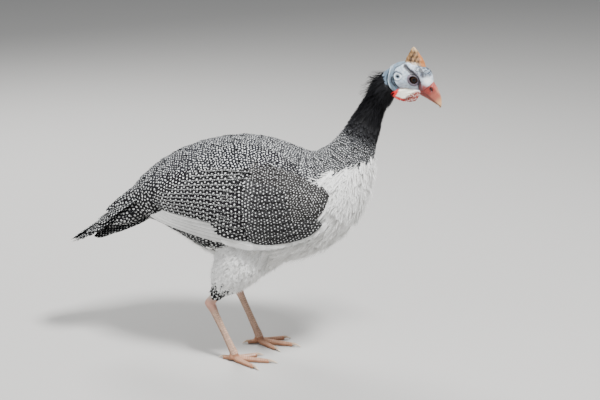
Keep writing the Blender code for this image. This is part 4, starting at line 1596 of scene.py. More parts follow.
@dataclass(frozen=True)
class Face:
    """The colours of the bare head, in the head's frame."""

    base: tuple = (0.29, 0.36, 0.44)
    line: tuple = ((-10, 16.5), (-5, 14), (0.5, 12.4), (8.5, 8.2), (12.6, 3.4), (15.5, -2), (19, -7))
    rim: tuple = ((-20.5, 3), (-18.5, 7), (-11, 6.6))
    lobe: tuple = ((-21, -1.5), (-19, -6.5), (-14, -9.5))
    gape: tuple = ((9, -11.5), (17.5, -10.6), (24, -6))
    stroke: tuple = ((8, 18.5), (12.5, 15.5), (14.5, 11.5))
    edge: tuple = ((-17, -13.6, -11.2, -3.5, 8.5, 14, 19.2, 24), (-12, -19, -25.3, -33, -33.2, -30, -23, -14))

    def past_edge(self, head: Array) -> Array:
        """How far points of the head lie in front of the coat's ragged edge.

        Args:
            head: points in the head's frame.

        Returns:
            One distance a point.
        """
        height, reach = self.edge
        ragged = 0.9 * np.sin(head[:, 2] * 1.1) * np.sin(head[:, 1] * 0.8)
        return head[:, 0] - np.interp(head[:, 2], height, reach) + ragged

    def line_reach(self, x: Array, z: Array) -> Array:
        """How far points lie from the dark line over the eye, with a ragged edge."""
        return from_line(x, z, self.line) + 0.35 * np.sin(x * 1.9 + z) * np.sin(z * 2.3)

    def colours(self, head: Array) -> Array:
        """The colour of each point.

        Args:
            head: points in the head's frame.

        Returns:
            One colour a point.
        """
        x, y, z = head.T
        cloud = 0.5 + 0.5 * np.sin(x * 0.9 + 2 * np.sin(z * 0.55)) * np.sin(z * 0.8 + 1.5 * np.sin(x * 0.4))
        mark = np.sin(x * 2.1 + 3 * np.sin(z * 0.7)) * np.sin(z * 2.3 + 2 * np.sin(x))
        inside, crest = NAPE.read(x, z)
        low = ramp(z, 9, 0)
        crown = ramp(np.hypot((x - 13) / 1.6, z - 17.5), 8.5, 5.5)
        snow = bump(x - 22, 5) * bump(z - 7, 5)
        edge = self.line_reach(x, z)
        eye = HEAD.eye_reach(x, z)
        ear = HEAD.ear_reach(x, z)
        mouth = from_line(x, z, self.gape)
        side = ramp(np.abs(y), 5, 9)
        layers = (
            ((0.66, 0.72, 0.78), cloud * 0.6),
            # the nape's folds carry painted light and shade: a painted highlight on each crest, painted shade
            # in each crease, and more shade lower down
            ((0.075, 0.115, 0.155), inside * (0.8 + 0.15 * low)),
            ((0.6, 0.68, 0.73), inside * ramp(crest, 0.62, 0.92) * (0.9 - 0.35 * low)),
            ((0.01, 0.015, 0.022), inside * ramp(crest, 0.32, 0.1) * (0.65 + 0.3 * low)),
            ((0.05, 0.075, 0.11), crown * 0.9),
            ((0.6, 0.65, 0.7), crown * ramp(mark, -0.35, -0.75) * 0.7),
            ((0.008, 0.01, 0.014), crown * ramp(mark, 0.0, 0.4) * 0.9),
            ((0.014, 0.014, 0.018), ramp(from_line(x, z, self.stroke) + 0.6 * mark, 1.7, 0.8) * 0.85),
            ((0.9, 0.9, 0.9), snow * 0.9),
            ((0.2, 0.15, 0.18), bump(edge, 3.8) * ramp(x, -8, 2) * 0.75),
            ((0.28, 0.03, 0.022), ramp(x + 0.3 * z, 15.5, 19.0) * ramp(z, 4.5, -0.5) * 0.9),
            ((0.06, 0.04, 0.055), ramp(eye, 8.1, 7.0) * 0.92),
            ((0.27, 0.21, 0.26), bump(eye - 6.5, 0.5) * 0.75),
            ((0.3, 0.24, 0.29), bump(eye - 5.35, 0.4) * 0.3),
            ((0.01, 0.009, 0.012), ramp(edge, 3.2, 1.7) * ramp(x, 18.5, 14.0) * ramp(eye, 5.0, 5.8) * 0.95),
            ((0.16, 0.03, 0.03), ramp(edge, 3.0, 0.8) * ramp(x, 12.5, 16) * 0.75),
            # the lid's inner edge is dark, and the socket round the eyeball behind it is painted near-black
            # as painted shade
            ((0.012, 0.01, 0.012), ramp(eye, 5.05, 4.7)),
            ((0.13, 0.18, 0.23), ramp(ear, 3.1, 2.3) * side * 0.85),
            # painted shade: the ear's opening is painted near-black for the shade in its hollow
            ((0.012, 0.014, 0.02), ramp(ear, 1.8, 1.1) * side),
            ((0.75, 0.8, 0.84), bump(ear - 3.5, 0.6) * side * 0.7),
            ((0.01, 0.013, 0.02), bump(from_line(x, z, self.rim), 1.0) * side * 0.9),
            ((0.009, 0.012, 0.018), ramp(from_line(x, z, self.lobe) + 0.9 * mark, 2.1, 0.8) * side * 0.93),
            ((0.24, 0.05, 0.04), ramp(mouth, 2.6, 0.9) * 0.85),
            # painted shade: a near-black line in the slit of the gape
            ((0.02, 0.006, 0.006), ramp(mouth, 0.8, 0.3) * 0.8),
            ((0.42, 0.2, 0.18), ramp(mark, 0.1, 0.7) * ramp(z, -4, -7) * ramp(x, -2, 4) * 0.7),
            ((0.36, 0.16, 0.14), ramp(z + 0.25 * x, -8.5, -12.5) * ramp(x, -12, -2) * 0.6),
        )
        colours = one_colour(self.base, len(head))
        for colour, share in layers:
            colours = mixed(colours, colour, share)
        return np.clip(colours, 0, 1)


FACE = Face()


@dataclass
class Bill:
    """The two halves of the bill, in the bill's own frame: distance, half width, top and bottom."""

    shop: Shop
    faces: tuple = (96, 110)
    upper: tuple = (
        (-5, 8.8, 10.4, -7.5),
        (0.4, 9.2, 11.2, -7.0),
        (4, 8.4, 10.9, -5.6),
        (9.5, 7.2, 10.3, -3.9),
        (15.5, 5.8, 9.0, -2.6),
        (21.5, 4.3, 6.8, -1.6),
        (26, 2.8, 4.0, -1.2),
        (29, 1.4, 1.4, -1.3),
        (30.7, 0.6, -0.6, -2.0),
    )
    lower: tuple = (
        (-5, 8.4, -8.0, -12.4),
        (0.4, 8.4, -7.5, -12.0),
        (4, 7.4, -6.1, -10.6),
        (9.5, 6.2, -4.4, -8.3),
        (15.5, 4.8, -3.1, -6.1),
        (21.5, 3.0, -2.1, -4.0),
        (25.5, 1.3, -1.8, -2.9),
    )
    nostril: tuple = (5.4, 4.6)

    def half(self, rows: tuple, above: bool) -> Place:
        """Where a mapped ball's points lie on one half.

        Args:
            rows: its table of sizes.
            above: whether it is the upper half.

        Returns:
            The function that places the points.
        """

        def place(share: Array, turn: Array) -> Array:
            """Points of the half.

            Args:
                share: the share of the way from end to end.
                turn: the angle round.

            Returns:
                The points.
            """
            length, full = capped(share, 0.03)
            x, wide, top, bottom = smooth_rows(rows, length * (len(rows) - 1)).T
            arch = np.maximum(np.sin(turn), 0) ** 0.9
            flat = np.minimum(np.sin(turn), 0)
            tall = (top - bottom) * full
            if above:
                rise = bottom + tall * arch + 0.6 * flat * full
            else:
                rise = top - tall * arch - 0.5 * flat * full
            edge = 0.35 * bump(np.abs(np.cos(turn)) - 1, 0.12) * ramp(x, 2, 8)
            points = np.stack([x, (wide * full + edge) * np.cos(turn), rise], -1)
            return points + self.relief(points, turn, above) * full[:, None]

        return place

    def nostril_reach(self, x: Array, z: Array) -> Array:
        """How far points lie from the middle of the nostril, seen from the side."""
        ahead, rise = x - self.nostril[0], z - self.nostril[1]
        return np.hypot(ahead / 1.75, rise + 0.15 * ahead)

    def relief(self, points: Array, turn: Array, above: bool) -> Array:
        """The cere, the nostril and the lines of growth.

        Args:
            points: points of the half, in the bill's frame.
            turn: the angle round it.
            above: whether it is the upper half.

        Returns:
            How far each point moves.
        """
        x, y, z = points.T
        out = np.stack([np.zeros(len(x)), np.cos(turn), np.sin(turn) * (1 if above else -1)], -1)
        grow = 0.07 * np.sin(x * 2.4 + 0.5 * np.sin(z * 1.7)) * ramp(x, 9, 14)
        if above:
            nx, nz = self.nostril
            reach = self.nostril_reach(x, z)
            aside = ramp(np.abs(y), 2, 4)
            flap = 0.55 * bump(np.hypot((x - nx) / 1.5, z - nz - 2.2), 1.4)
            grow = grow + (-1.9 * ramp(reach, 1.75, 1.0) + 0.35 * bump(reach - 2.1, 0.55) + flap) * aside
            grow = grow + 0.45 * ramp(x, 11.5, 9.0) * ramp(z, -3, 0)
            grow = grow + 0.15 * np.sin(x * 1.9 + z) * ramp(x, 10, 6)
        return out * grow[:, None]

    def colours(self, points: Array, above: bool) -> Array:
        """Red at the cere, orange pink horn and a pale tip, with painted highlight and shade.

        Args:
            points: points of the half, in the bill's frame.
            above: whether it is the upper half.

        Returns:
            One colour a point.
        """
        x, y, z = points.T
        colours = one_colour((0.27, 0.062, 0.04), len(points))
        streak = 0.5 + 0.5 * np.sin(z * 3.3 + 1.2 * np.sin(x * 0.8) + y)
        colours = mixed(colours, (0.38, 0.15, 0.11), streak * 0.4)
        colours = mixed(colours, (0.2, 0.022, 0.018), ramp(x, 13, 6) * (0.9 if above else 0.75))
        colours = mixed(colours, (0.4, 0.1, 0.08), bump(z - 11, 3.0) * ramp(x, 14, 6) * 0.7)
        colours = mixed(colours, (0.58, 0.35, 0.17), ramp(x, 16.5, 27.0) * 0.92)
        # painted highlight: the top of the upper half is paler
        colours = mixed(colours, (0.5, 0.29, 0.2), ramp(z, 6.5, 10.0) * ramp(x, 4, 14) * 0.65)
        # painted shade: a dark line where the two halves meet at the mouth
        colours = mixed(colours, (0.05, 0.01, 0.008), ramp(np.abs(z + 3.4 - 0.14 * (x - 9)), 1.3, 0.3) * 0.8)
        if above:
            # painted shade: the nostril's hollow is painted dark
            hole = ramp(self.nostril_reach(x, z), 2.3, 1.4) * ramp(np.abs(y), 2, 3)
            colours = mixed(colours, (0.045, 0.01, 0.01), hole)
        return colours

    def build(self) -> list[Piece]:
        """Makes both halves.

        Returns:
            The two pieces.
        """
        finish = PaintedFinish("bill_horn", 0.38, 1.2, 0.2, 0.00012, 0.08).material()
        made = []
        for name, rows, above in (("bill_upper", self.upper, True), ("bill_lower", self.lower, False)):
            shape = mapped_ball(*self.faces, self.half(rows, above))
            colours = partial(self.colours, above=above)
            piece = self.shop.painted(shape, name + "_horn", colours, finish, HEAD.bill_matrix())
            made.append(self.shop.fit(piece, Slot.BILL, (name,)))
        return made


@dataclass
class Helmet:
    """The horny helmet on the crown: height, middle along the head, half length and half width."""

    shop: Shop
    faces: tuple = (120, 90)
    rows: tuple = (
        (10, 1, 13.5, 7.6),
        (20, 1, 13.2, 6.8),
        (24, 0, 12.2, 5.8),
        (28, -1.2, 10.3, 4.8),
        (32, -3, 7.6, 3.9),
        (36, -5.2, 4.8, 2.9),
        (39, -7, 2.2, 1.7),
        (40.2, -7.8, 0.8, 0.8),
    )

    def place(self, share: Array, turn: Array) -> Array:
        """Points of the helmet, with its upright ridges and worn bumps.

        Args:
            share: the share of the way from end to end.
            turn: the angle round.

        Returns:
            The points.
        """
        length, full = capped(share, 0.02)
        z, x, long, wide = smooth_rows(self.rows, length * (len(self.rows) - 1)).T
        worn = 0.28 * np.sin(7 * turn + 2.5 * np.sin(z / 3.1)) + 0.16 * np.sin(17 * turn + z * 1.3)
        worn = worn + 0.22 * np.sin(z * 1.25 + 2 * np.sin(2 * turn)) + 0.09 * np.sin(31 * turn + z * 2.9)
        size = np.minimum(long, wide) / 6
        keel = 0.5 * bump(np.sin(turn), 0.35) * (np.cos(turn) > 0)
        lean = 1 + (worn * size + keel) / np.maximum(wide, 1)
        ahead = x + long * (1 + worn * size / long) * np.cos(turn) * full
        return np.stack([ahead, wide * lean * np.sin(turn) * full, z], -1)

    def colours(self, points: Array) -> Array:
        """Tan horn with darker streaks, a warm front edge and pale scurf round the base.

        Args:
            points: points in the head's frame.

        Returns:
            One colour a point.
        """
        x, y, z = points.T
        front = x + 0.62 * (z - 20)
        colours = one_colour((0.17, 0.088, 0.034), len(points))
        streak = np.sin(x * 1.3 + 1.8 * np.sin(z * 0.32) + 0.9 * y) + 0.6 * np.sin(x * 3.7 + z * 0.6)
        dark = ramp(streak, 0.0, 0.8) * ramp(z, 21, 25) * (0.62 + 0.35 * bump(front + 1.5, 6.5))
        colours = mixed(colours, (0.014, 0.006, 0.003), dark)
        colours = mixed(colours, (0.36, 0.21, 0.09), ramp(streak, -0.3, -1.2) * 0.5)
        colours = mixed(colours, (0.4, 0.14, 0.035), ramp(front, 7.0, 11) * 0.85)
        colours = mixed(colours, (0.5, 0.36, 0.2), ramp(z, 34, 39.5) * 0.6)
        grain = np.sin(x * 4.1 + 2 * np.sin(z * 2.2)) * np.sin(z * 3.7 + 2 * np.sin(y * 3))
        scurf = ramp(z + 0.25 * np.abs(x), 25.5, 20.5) * ramp(grain, -0.7, 0.3)
        return mixed(colours, (0.78, 0.72, 0.62), scurf * 0.85)

    def build(self) -> Piece:
        """Makes the helmet.

        Returns:
            The piece.
        """
        finish = PaintedFinish("helmet_horn", 0.55, 0.8, 0.4, 0.0004).material()
        shape = mapped_ball(*self.faces, self.place)
        piece = self.shop.painted(shape, "helmet_horn", self.colours, finish, HEAD.matrix())
        return self.shop.fit(piece, Slot.HELMET, ("helmet",))


@dataclass
class Wattles:
    """The flap of skin at each corner of the mouth: x, z, y, half length and half thickness, root to edge."""

    shop: Shop
    faces: tuple = (110, 80)
    rows: tuple = (
        (9, -6.5, 7.6, 8.5, 3.0),
        (6.5, -10.5, 9.8, 11.5, 2.4),
        (1.5, -15, 11.6, 16, 1.8),
        (-1.5, -19.5, 12.6, 17, 1.4),
        (-3, -22.8, 13.0, 12, 1.1),
        (-3.5, -24.5, 13.2, 5, 0.7),
    )
    wave: float = 0.7
    folds: float = 2.5

    def place(self, side: Side) -> Place:
        """Where a mapped ball's points lie on one wattle.

        Args:
            side: the side of the bird.

        Returns:
            The function that places a mapped ball's points.
        """

        def points(share: Array, turn: Array) -> Array:
            """Points of the wattle, with the warts near the mouth.

            Args:
                share: the share of the way from end to end.
                turn: the angle round.

            Returns:
                The points.
            """
            length, full = capped(share, 0.05)
            x, z, y, long, thick = smooth_rows(self.rows, length * (len(self.rows) - 1)).T
            px = x + long * np.cos(turn) * full
            ripple = self.wave * length * np.sin(math.pi * self.folds * np.cos(turn))
            mouth = ramp(px, -1, 6) * (0.35 + 0.65 * ramp(z, -10, -14))
            fine = 0.12 * np.sin(px * 3.1 + z) * np.sin(z * 3.7)
            rough = 1.15 * self.warts(px, z) * mouth + fine
            skin = (thick + rough) * np.sin(turn) * full
            rim = 0.5 * bump(1 - length, 0.12) * np.sin(px * 2.6)
            return np.stack([px, side * (y + skin + ripple), z + rim], -1)

        return points

    @staticmethod
    def warts(x: Array, z: Array) -> Array:
        """How much of a wart is at each place, from 0 to 1."""
        along, down = np.sin(x * 2.1 + 1.7 * np.sin(z * 1.1)), np.sin(z * 2.3 + 1.3 * np.sin(x * 1.4))
        return np.maximum(along * down, 0)

    def colours(self, points: Array) -> Array:
        """Brownish red and warty by the mouth, chalky white in the middle, and bright red behind.

        Args:
            points: points in the head's frame.

        Returns:
            One colour a point.
        """
        x, _, z = points.T
        colours = one_colour((0.17, 0.028, 0.018), len(points))
        wart = self.warts(x, z)
        colours = mixed(colours, (0.8, 0.72, 0.68), ramp(wart, 0.5, 0.8) * ramp(x, -2, 3) * 0.85)
        ragged = 0.9 * np.sin(x * 1.7 + 2 * np.sin(z * 1.3)) + 0.6 * np.sin(z * 3.1 + x * 2.3)
        chalk = ramp(x - 0.15 * z, -7.5, -5.5) * ramp(x - 0.9 * (z + 15) + ragged, 7.5, 5)
        chalk = chalk * ramp(z + 0.4 * ragged, -22.5, -20.5)
        colours = mixed(colours, (0.74, 0.72, 0.62), chalk * 0.95)
        colours = mixed(colours, (0.62, 0.36, 0.33), chalk * ramp(wart, 0.45, 0.9) * 0.5)
        red = ramp(x - 0.15 * z + 0.5 * ragged, -4.8, -6.3)
        colours = mixed(colours, (0.5, 0.003, 0.005), red)
        colours = mixed(colours, (0.45, 0.03, 0.025), ramp(z, -21.0, -22.5) * ramp(x, 6, 2) * 0.85)
        return mixed(colours, (0.74, 0.7, 0.72), ramp(z, -9, -6.5) * 0.8)

    def build(self) -> list[Piece]:
        """Makes both wattles.

        Returns:
            The two pieces.
        """
        finish = PaintedFinish("wattle_skin", 0.45, 0.6, 0.3, 0.00025, 0.15).material()
        made = []
        for side in Side:
            shape = mapped_ball(*self.faces, self.place(side))
            name = f"wattle_{side.word}_skin"
            piece = self.shop.painted(shape, name, self.colours, finish, HEAD.matrix())
            made.append(self.shop.fit(piece, Slot.WATTLE, ("wattle_" + side.word,)))
        return made


@dataclass
class Eyes:
    """The two eyeballs, with a dark brown iris and a round pupil.

    Gaze is how far ahead and up each eye looks for a step of one to its side.
    """

    shop: Shop
    faces: tuple = (72, 60)
    pupil: float = 2.5
    iris: float = 4.3
    bulge: float = 0.35
    gaze: tuple = (0.16, 0.02)

    def place(self, side: Side) -> Place:
        """Where a mapped ball's points lie, with the cornea raised a little.

        Args:
            side: the side of the bird.

        Returns:
            The function that places a mapped ball's points.
        """
        ahead, up = self.gaze
        axis = Vector((ahead, side, up)).normalized()
        turned = Vector((0, 0, 1)).rotation_difference(axis).to_matrix().to_4x4()

        def points(share: Array, turn: Array) -> Array:
            """Points of the eyeball.

            Args:
                share: the share of the way from end to end.
                turn: the angle round.

            Returns:
                The points.
            """
            lean = share * math.pi
            reach = HEAD.eye_r + self.bulge * bump(lean, 0.6)
            ball = np.stack([np.sin(lean) * np.cos(turn), np.sin(lean) * np.sin(turn), np.cos(lean)], -1)
            x, y, z = HEAD.eye
            return moved(ball * reach[:, None], turned) + np.array([x, side * y, z])

        return points

    def colours(self, points: Array, side: Side) -> Array:
        """Black pupil, brown iris with fine rays, and a grey brown edge.

        Args:
            points: points in the head's frame.
            side: the side of the bird.

        Returns:
            One colour a point.
        """
        x, y, z = HEAD.eye
        ahead, up = self.gaze
        out = unit(points - np.array([x, side * y, z]))
        axis = unit(np.array([ahead, side, up]))
        reach = HEAD.eye_r * np.arccos(np.clip(out @ axis, -1, 1))
        turn = np.arctan2(out[:, 2], out[:, 0] - ahead)
        rays = 0.5 + 0.5 * np.sin(turn * 37 + 2 * np.sin(turn * 11))
        colours = one_colour((0.02, 0.014, 0.013), len(points))
        colours = mixed(colours, (0.03, 0.013, 0.007), ramp(reach, self.iris + 0.2, self.iris - 0.2))
        colours = mixed(colours, (0.036, 0.018, 0.01), ramp(reach, self.iris, self.iris - 0.8) * rays * 0.5)
        return mixed(colours, (0.004, 0.004, 0.005), ramp(reach, self.pupil + 0.15, self.pupil - 0.15))

    def build(self) -> list[Piece]:
        """Makes both eyes.

        Returns:
            The two pieces.
        """
        finish = PaintedFinish("eye_wet", 0.07, 2.0, 0.05, 0.00001, 0.0, 0.0, 0.16).material()
        made = []
        for side in Side:
            shape = mapped_ball(*self.faces, self.place(side))
            colours = partial(self.colours, side=side)
            piece = self.shop.painted(shape, f"eye_{side.word}_ball", colours, finish, HEAD.matrix())
            made.append(self.shop.fit(piece, Slot.EYE, ("eye_" + side.word,)))
        return made


@dataclass
class Claws:
    """The curved claws: sizes of each from root to tip."""

    shop: Shop
    faces: tuple = (24, 28)
    root: float = 2.3
    tip: float = 0.25
    flat: float = 0.8
    height: float = 2.75
    arch: float = 1.4
    drop: float = 2.1

    def place(self, side: Side, name: str) -> Place:
        """Where a mapped ball's points lie on one claw.

        Args:
            side: the side of the bird.
            name: the toe.

        Returns:
            The function that places a mapped ball's points.
        """
        ankle, heading = LEG.joints(side)[0], LEG.heading(side, name)
        sideways = np.array([-heading.y, heading.x, 0])
        start = np.array([ankle.x, ankle.y, 0]) + np.array(heading) * (LEG.toes[name][1] - 2)
        long = LEG.claws[name] + 2

        def points(share: Array, turn: Array) -> Array:
            """Points of the claw.

            Args:
                share: the share of the way from end to end.
                turn: the angle round.

            Returns:
                The points.
            """
            along, full = capped(share, 0.05)
            radius = (self.root * (1 - along) ** 0.8 + self.tip) * full
            arch = self.arch * np.sin(math.pi * np.minimum(along * 1.15, 1)) * (1 - along)
            wide = radius * self.flat * np.cos(turn)
            made = start + np.outer(along * long, heading) + np.outer(wide, sideways)
            under = np.where(np.sin(turn) < 0, 0.75, 1.0)
            made[:, 2] = self.height + arch - self.drop * along**2 + radius * np.sin(turn) * under
            return made

        return points

    @staticmethod
    def colours(points: Array) -> Array:
        """Pale horn that is browner on top."""
        pale = one_colour((0.62, 0.5, 0.38), len(points))
        return mixed(pale, (0.36, 0.25, 0.17), ramp(points[:, 2], 1.5, 4.5) * 0.8)

    def build(self) -> list[Piece]:
        """Makes the eight claws.

        Returns:
            The eight pieces.
        """
        finish = PaintedFinish("claw_horn", 0.4, 0.8, 0.3, 0.0001, 0.05).material()
        made = []
        for side in Side:
            for name in LEG.toes:
                shape = mapped_ball(*self.faces, self.place(side, name))
                piece = self.shop.painted(shape, f"claw_{name}_{side.word}_horn", self.colours, finish)
                made.append(self.shop.fit(piece, Slot.CLAW, (f"claw_{name}_{side.word}",)))
        return made


@dataclass
class Scutes:
    """The horny scutes of the shanks and toes.

    A column has degrees from the front, half width and pitch. Reach is how far each scute goes both ways
    from its middle, as a share of the pitch.
    """

    shop: Shop
    columns: tuple = (
        (-31, 2.7, 3.1), (31, 2.7, 3.1), (149, 2.4, 2.8), (-149, 2.4, 2.8),
        (-74, 1.5, 2.2), (74, 1.5, 2.2), (-104, 1.4, 2.1), (104, 1.4, 2.1),
    )
    toe_pitch: float = 2.9
    reach: float = 0.56
    lip: float = 0.45
    points_across: int = 7
    seed: int = 3

    def __post_init__(self) -> None:
        """Starts the random draws and the list of scutes.

        Each entry of the list holds the middle lines, outward directions, half widths and arches of some
        scutes, and whether they lie on a toe. A scute has three stations from its hidden to its free edge.
        """
        self.rng = np.random.default_rng(self.seed)
        self.held: list[tuple[Array, ...]] = []

    def shank(self, side: Side) -> None:
        """The columns of scutes on one shank.

        Args:
            side: the side of the bird.
        """
        ankle, hock, _ = (np.array(joint) for joint in LEG.joints(side))
        length = np.linalg.norm(hock - ankle)
        ahead = (hock - ankle) / length
        aside = unit(np.array([0.0, 1.0, 0.0]) - ahead * ahead[1])
        fore = np.cross(aside, ahead)
        for number, (degrees, half, pitch) in enumerate(self.columns):
            height = np.arange(-1.0 + pitch / 2 * (number % 2), length - 5, pitch)[::-1]
            height = height[:, None] + np.array([1, 0, -1]) * self.reach * pitch
            turn = math.radians(degrees) + self.rng.normal(0, 0.03, len(height))[:, None] + 0 * height
            waist = LEG.waist * np.sin(math.pi * np.clip(height / (length - LEG.hock_size), 0, 1))
            waist = waist - 0.3 * ramp(height, 6, 0)
            crown = half**2 / 2 / LEG.shank[0] * np.array([0.9, 1.0, 0.8])
            lift = np.array([-0.25, 0.1, self.lip]) - crown
            wide, deep = LEG.shank[0] - waist + lift, LEG.shank[1] - waist + lift
            spot = aside * (wide * np.sin(turn))[..., None] + fore * (deep * np.cos(turn))[..., None]
            spine = ankle + ahead * height[..., None] + spot
            widths = half * np.array([0.8, 1.0, 0.72]) + 0 * height
            on_toe = np.full(len(height), False)
            self.held.append((spine, unit(spot), widths, crown + 0 * height, on_toe))

    def toe(self, side: Side, name: str) -> None:
        """The rings of scutes on top of one toe.

        Args:
            side: the side of the bird.
            name: the toe.
        """
        length = LEG.toes[name][1]
        place = LEG.toe_place(side, name)
        start = np.arange(2.5, length - 3.5, self.toe_pitch)
        along = start[:, None] + np.array([-1, 0, 1]) * self.reach * self.toe_pitch
        along = (along + LEG.toe_inset) / (length + LEG.toe_inset)
        share = LEG.toe_cap + (1 - 2 * LEG.toe_cap) * along
        found = []
        for turn in (math.pi / 2, 0.0, math.pi):
            found.append(place(share.ravel(), np.full(share.size, turn)).reshape(*share.shape, 3))
        top, left, right = found
        half = np.linalg.norm(left - right, axis=-1) / 2 * np.array([0.86, 1.0, 0.88])
        crown = (top[..., 2] - left[..., 2]) * 0.7
        up = np.broadcast_to([0.0, 0.0, 1.0], top.shape)
        spine = top + up * (np.array([-0.15, 0.35, self.lip + 0.2]) - crown)[..., None]
        self.held.append((spine, up, half, crown, np.full(len(start), True)))

    def build(self) -> Piece:
        """Makes all the scutes as one piece.

        Returns:
            The piece.
        """
        for side in Side:
            self.shank(side)
            for name in LEG.toes:
                self.toe(side, name)
        spine, up, half, crown, on_toe = (np.concatenate(rows) for rows in zip(*self.held))
        paints = np.empty((len(spine), 3, self.points_across, 4))
        paints[:] = [0.46, 0.29, 0.21, 1]
        paints[on_toe] = [0.36, 0.19, 0.12, 1]
        paints[..., :3] *= self.rng.uniform(0.8, 1.15, (len(spine), 1, 1, 1))
        # painted shade: each scute's hidden edge, tucked under the one before it, is darkened to near-black;
        # its free edge is paler
        paints[:, 0, :, :3] *= 0.15
        paints[:, 2, :, :3] = paints[:, 2, :, :3] * 0.7 + [0.2, 0.16, 0.12]
        plates = Plates(spine, up, half, crown, self.points_across, attributes={"paint": paints})
        mesh = plates.mesh("leg_scutes", self.shop)
        mesh.materials.append(PaintedFinish("leg_scutes", 0.42, 0.7, 0.2, 0.00008, 0.06).material())
        return self.shop.fit(self.shop.object_of(mesh, "leg_scutes"), Slot.LEG)


@dataclass
class Studio:
    """The plain floor, the soft lights and the camera at the photo's angle."""

    azimuth: float = 11.0
    elevation: float = 17.0
    lens: float = 70.0
    distance: float = 1.517
    aside: float = 0.068
    rise: float = 0.004

    def build(self) -> None:
        """Sets up the studio."""
        self.floor()
        low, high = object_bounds()
        middle = (Vector(low) + Vector(high)) / 2
        azimuth, elevation = math.radians(self.azimuth), math.radians(self.elevation)
        right = Vector((math.cos(azimuth), math.sin(azimuth), 0))
        level = math.cos(elevation)
        back = Vector((math.sin(azimuth) * level, -math.cos(azimuth) * level, math.sin(elevation)))
        aim = middle + right * self.aside + Vector((0, 0, self.rise))
        data = bpy.data.cameras.new("camera")
        data.lens, data.clip_end = self.lens, 100
        camera = bpy.data.objects.new("camera", data)
        camera.location = aim + back * self.distance
        camera.rotation_euler = back.to_track_quat("Z", "Y").to_euler()
        bpy.context.scene.collection.objects.link(camera)
        bpy.context.scene.camera = camera
        self.lamp("key", right * 0.8 + back * 1.1 + Vector((0, 0, 1.9)), middle, 0.5, 185)
        self.lamp("fill", -right * 1.7 + back * 1.3 + Vector((0, 0, 0.5)), middle, 1.6, 22)
        self.lamp("rim", -back * 1.3 - right * 0.8 + Vector((0, 0, 1.7)), middle, 0.8, 55)
        world = bpy.data.worlds.new("studio")
        world.use_nodes = True
        world.node_tree.nodes["Background"].inputs["Color"].default_value = (0.9, 0.93, 0.97, 1)
        world.node_tree.nodes["Background"].inputs["Strength"].default_value = 0.42
        bpy.context.scene.world = world

    def floor(self) -> None:
        """A wide plain floor."""
        shape = bmesh.new()
        bmesh.ops.create_grid(shape, x_segments=1, y_segments=1, size=15)
        mesh = bpy.data.meshes.new("studio_floor")
        shape.to_mesh(mesh)
        shape.free()
        mesh.materials.append(GroundFinish().material())
        made = bpy.data.objects.new("studio_floor", mesh)
        bpy.context.scene.collection.objects.link(made)
        made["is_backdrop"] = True

    @staticmethod
    def lamp(name: str, away: Vector, aim: Vector, size: float, power: float) -> None:
        """A square soft light that faces the bird.

        Args:
            name: its name.
            away: the way from what it lights to the lamp.
            aim: what it lights.
            size: the length of its side.
            power: its power in watts.
        """
        data = bpy.data.lights.new(name, "AREA")
        data.size, data.energy = size, power
        made = bpy.data.objects.new(name, data)
        made.location = aim + away
        made.rotation_euler = away.to_track_quat("Z", "Y").to_euler()
        made.visible_glossy = name == "key"
        bpy.context.scene.collection.objects.link(made)


def corners(ends: Sequence) -> list[list[float]]:
    """A box's two corners as plain lists."""
    return [[float(value) for value in end] for end in ends]


@dataclass(frozen=True)
class Outline:
    """The outline of a feather: shares of its length from the root, and of its full half width there."""

    along: tuple
    wide: tuple

    def half(self, widest: Array) -> Array:
        """Half widths at each station of feathers of these widths."""
        return np.asarray(widest, float)[:, None] * np.array(self.wide)

    def steps(self, length: Array) -> Array:
        """Distances from the root of each station."""
        return np.asarray(length, float)[:, None] * np.array(self.along)


ROUND_FEATHER = Outline((0, 0.18, 0.4, 0.62, 0.8, 0.92, 1.0), (0.3, 0.72, 0.95, 1.0, 0.86, 0.56, 0.16))
SOFT_PLUME = Outline(
    (0, 0.14, 0.26, 0.38, 0.5, 0.6, 0.7, 0.79, 0.88, 0.95, 1.0),
    (0.3, 0.9, 0.62, 1.0, 0.66, 0.98, 0.58, 0.84, 0.44, 0.5, 0.08),
)
STRAND = Outline((0, 0.3, 0.6, 0.85, 1.0), (0.6, 1.0, 0.8, 0.5, 0.1))
LANCET = Outline((0, 0.25, 0.55, 0.8, 1.0), (0.5, 1.0, 0.85, 0.5, 0.08))
QUILL = Outline(
    (0, 0.08, 0.18, 0.3, 0.42, 0.54, 0.66, 0.77, 0.86, 0.93, 0.975, 1.0),
    (0.35, 0.6, 0.85, 0.97, 1.0, 1.0, 1.0, 0.97, 0.87, 0.66, 0.4, 0.12),
)
ROUND_QUILL = Outline(
    (0, 0.1, 0.22, 0.34, 0.46, 0.58, 0.69, 0.79, 0.87, 0.93, 0.975, 1.0),
    (0.3, 0.55, 0.8, 0.94, 1.0, 1.0, 0.98, 0.9, 0.76, 0.56, 0.34, 0.1),
)


@dataclass
class Marks:
    """The pattern on each of many feathers.

    A row of pearls holds their pitch across and along and their radius in centimetres, and a row of mark
    holds bars, stipple and a random number.
    """

    ground: Array
    pearls: Array
    mark: Array
    # how dark each feather is painted near its root, as painted shade
    shade: float = 0.5

    @staticmethod
    def plain(count: int, colour: Sequence[float]) -> "Marks":
        """Marks of plain feathers, with less painted shade at the root where they are white.

        Args:
            count: the count of feathers.
            colour: their red, green and blue.

        Returns:
            Their marks.
        """
        shade = 0.5 - 0.42 * float(colour[0] > 0.5)
        pearls = np.tile([1.0, 1.0, 0.0], (count, 1))
        return Marks(one_colour(colour, count), pearls, np.zeros((count, 3)), shade)

    def attributes(self) -> dict:
        """The attributes that the plumage finish reads."""
        return {"ground": self.ground, "pearls": self.pearls, "mark": self.mark}


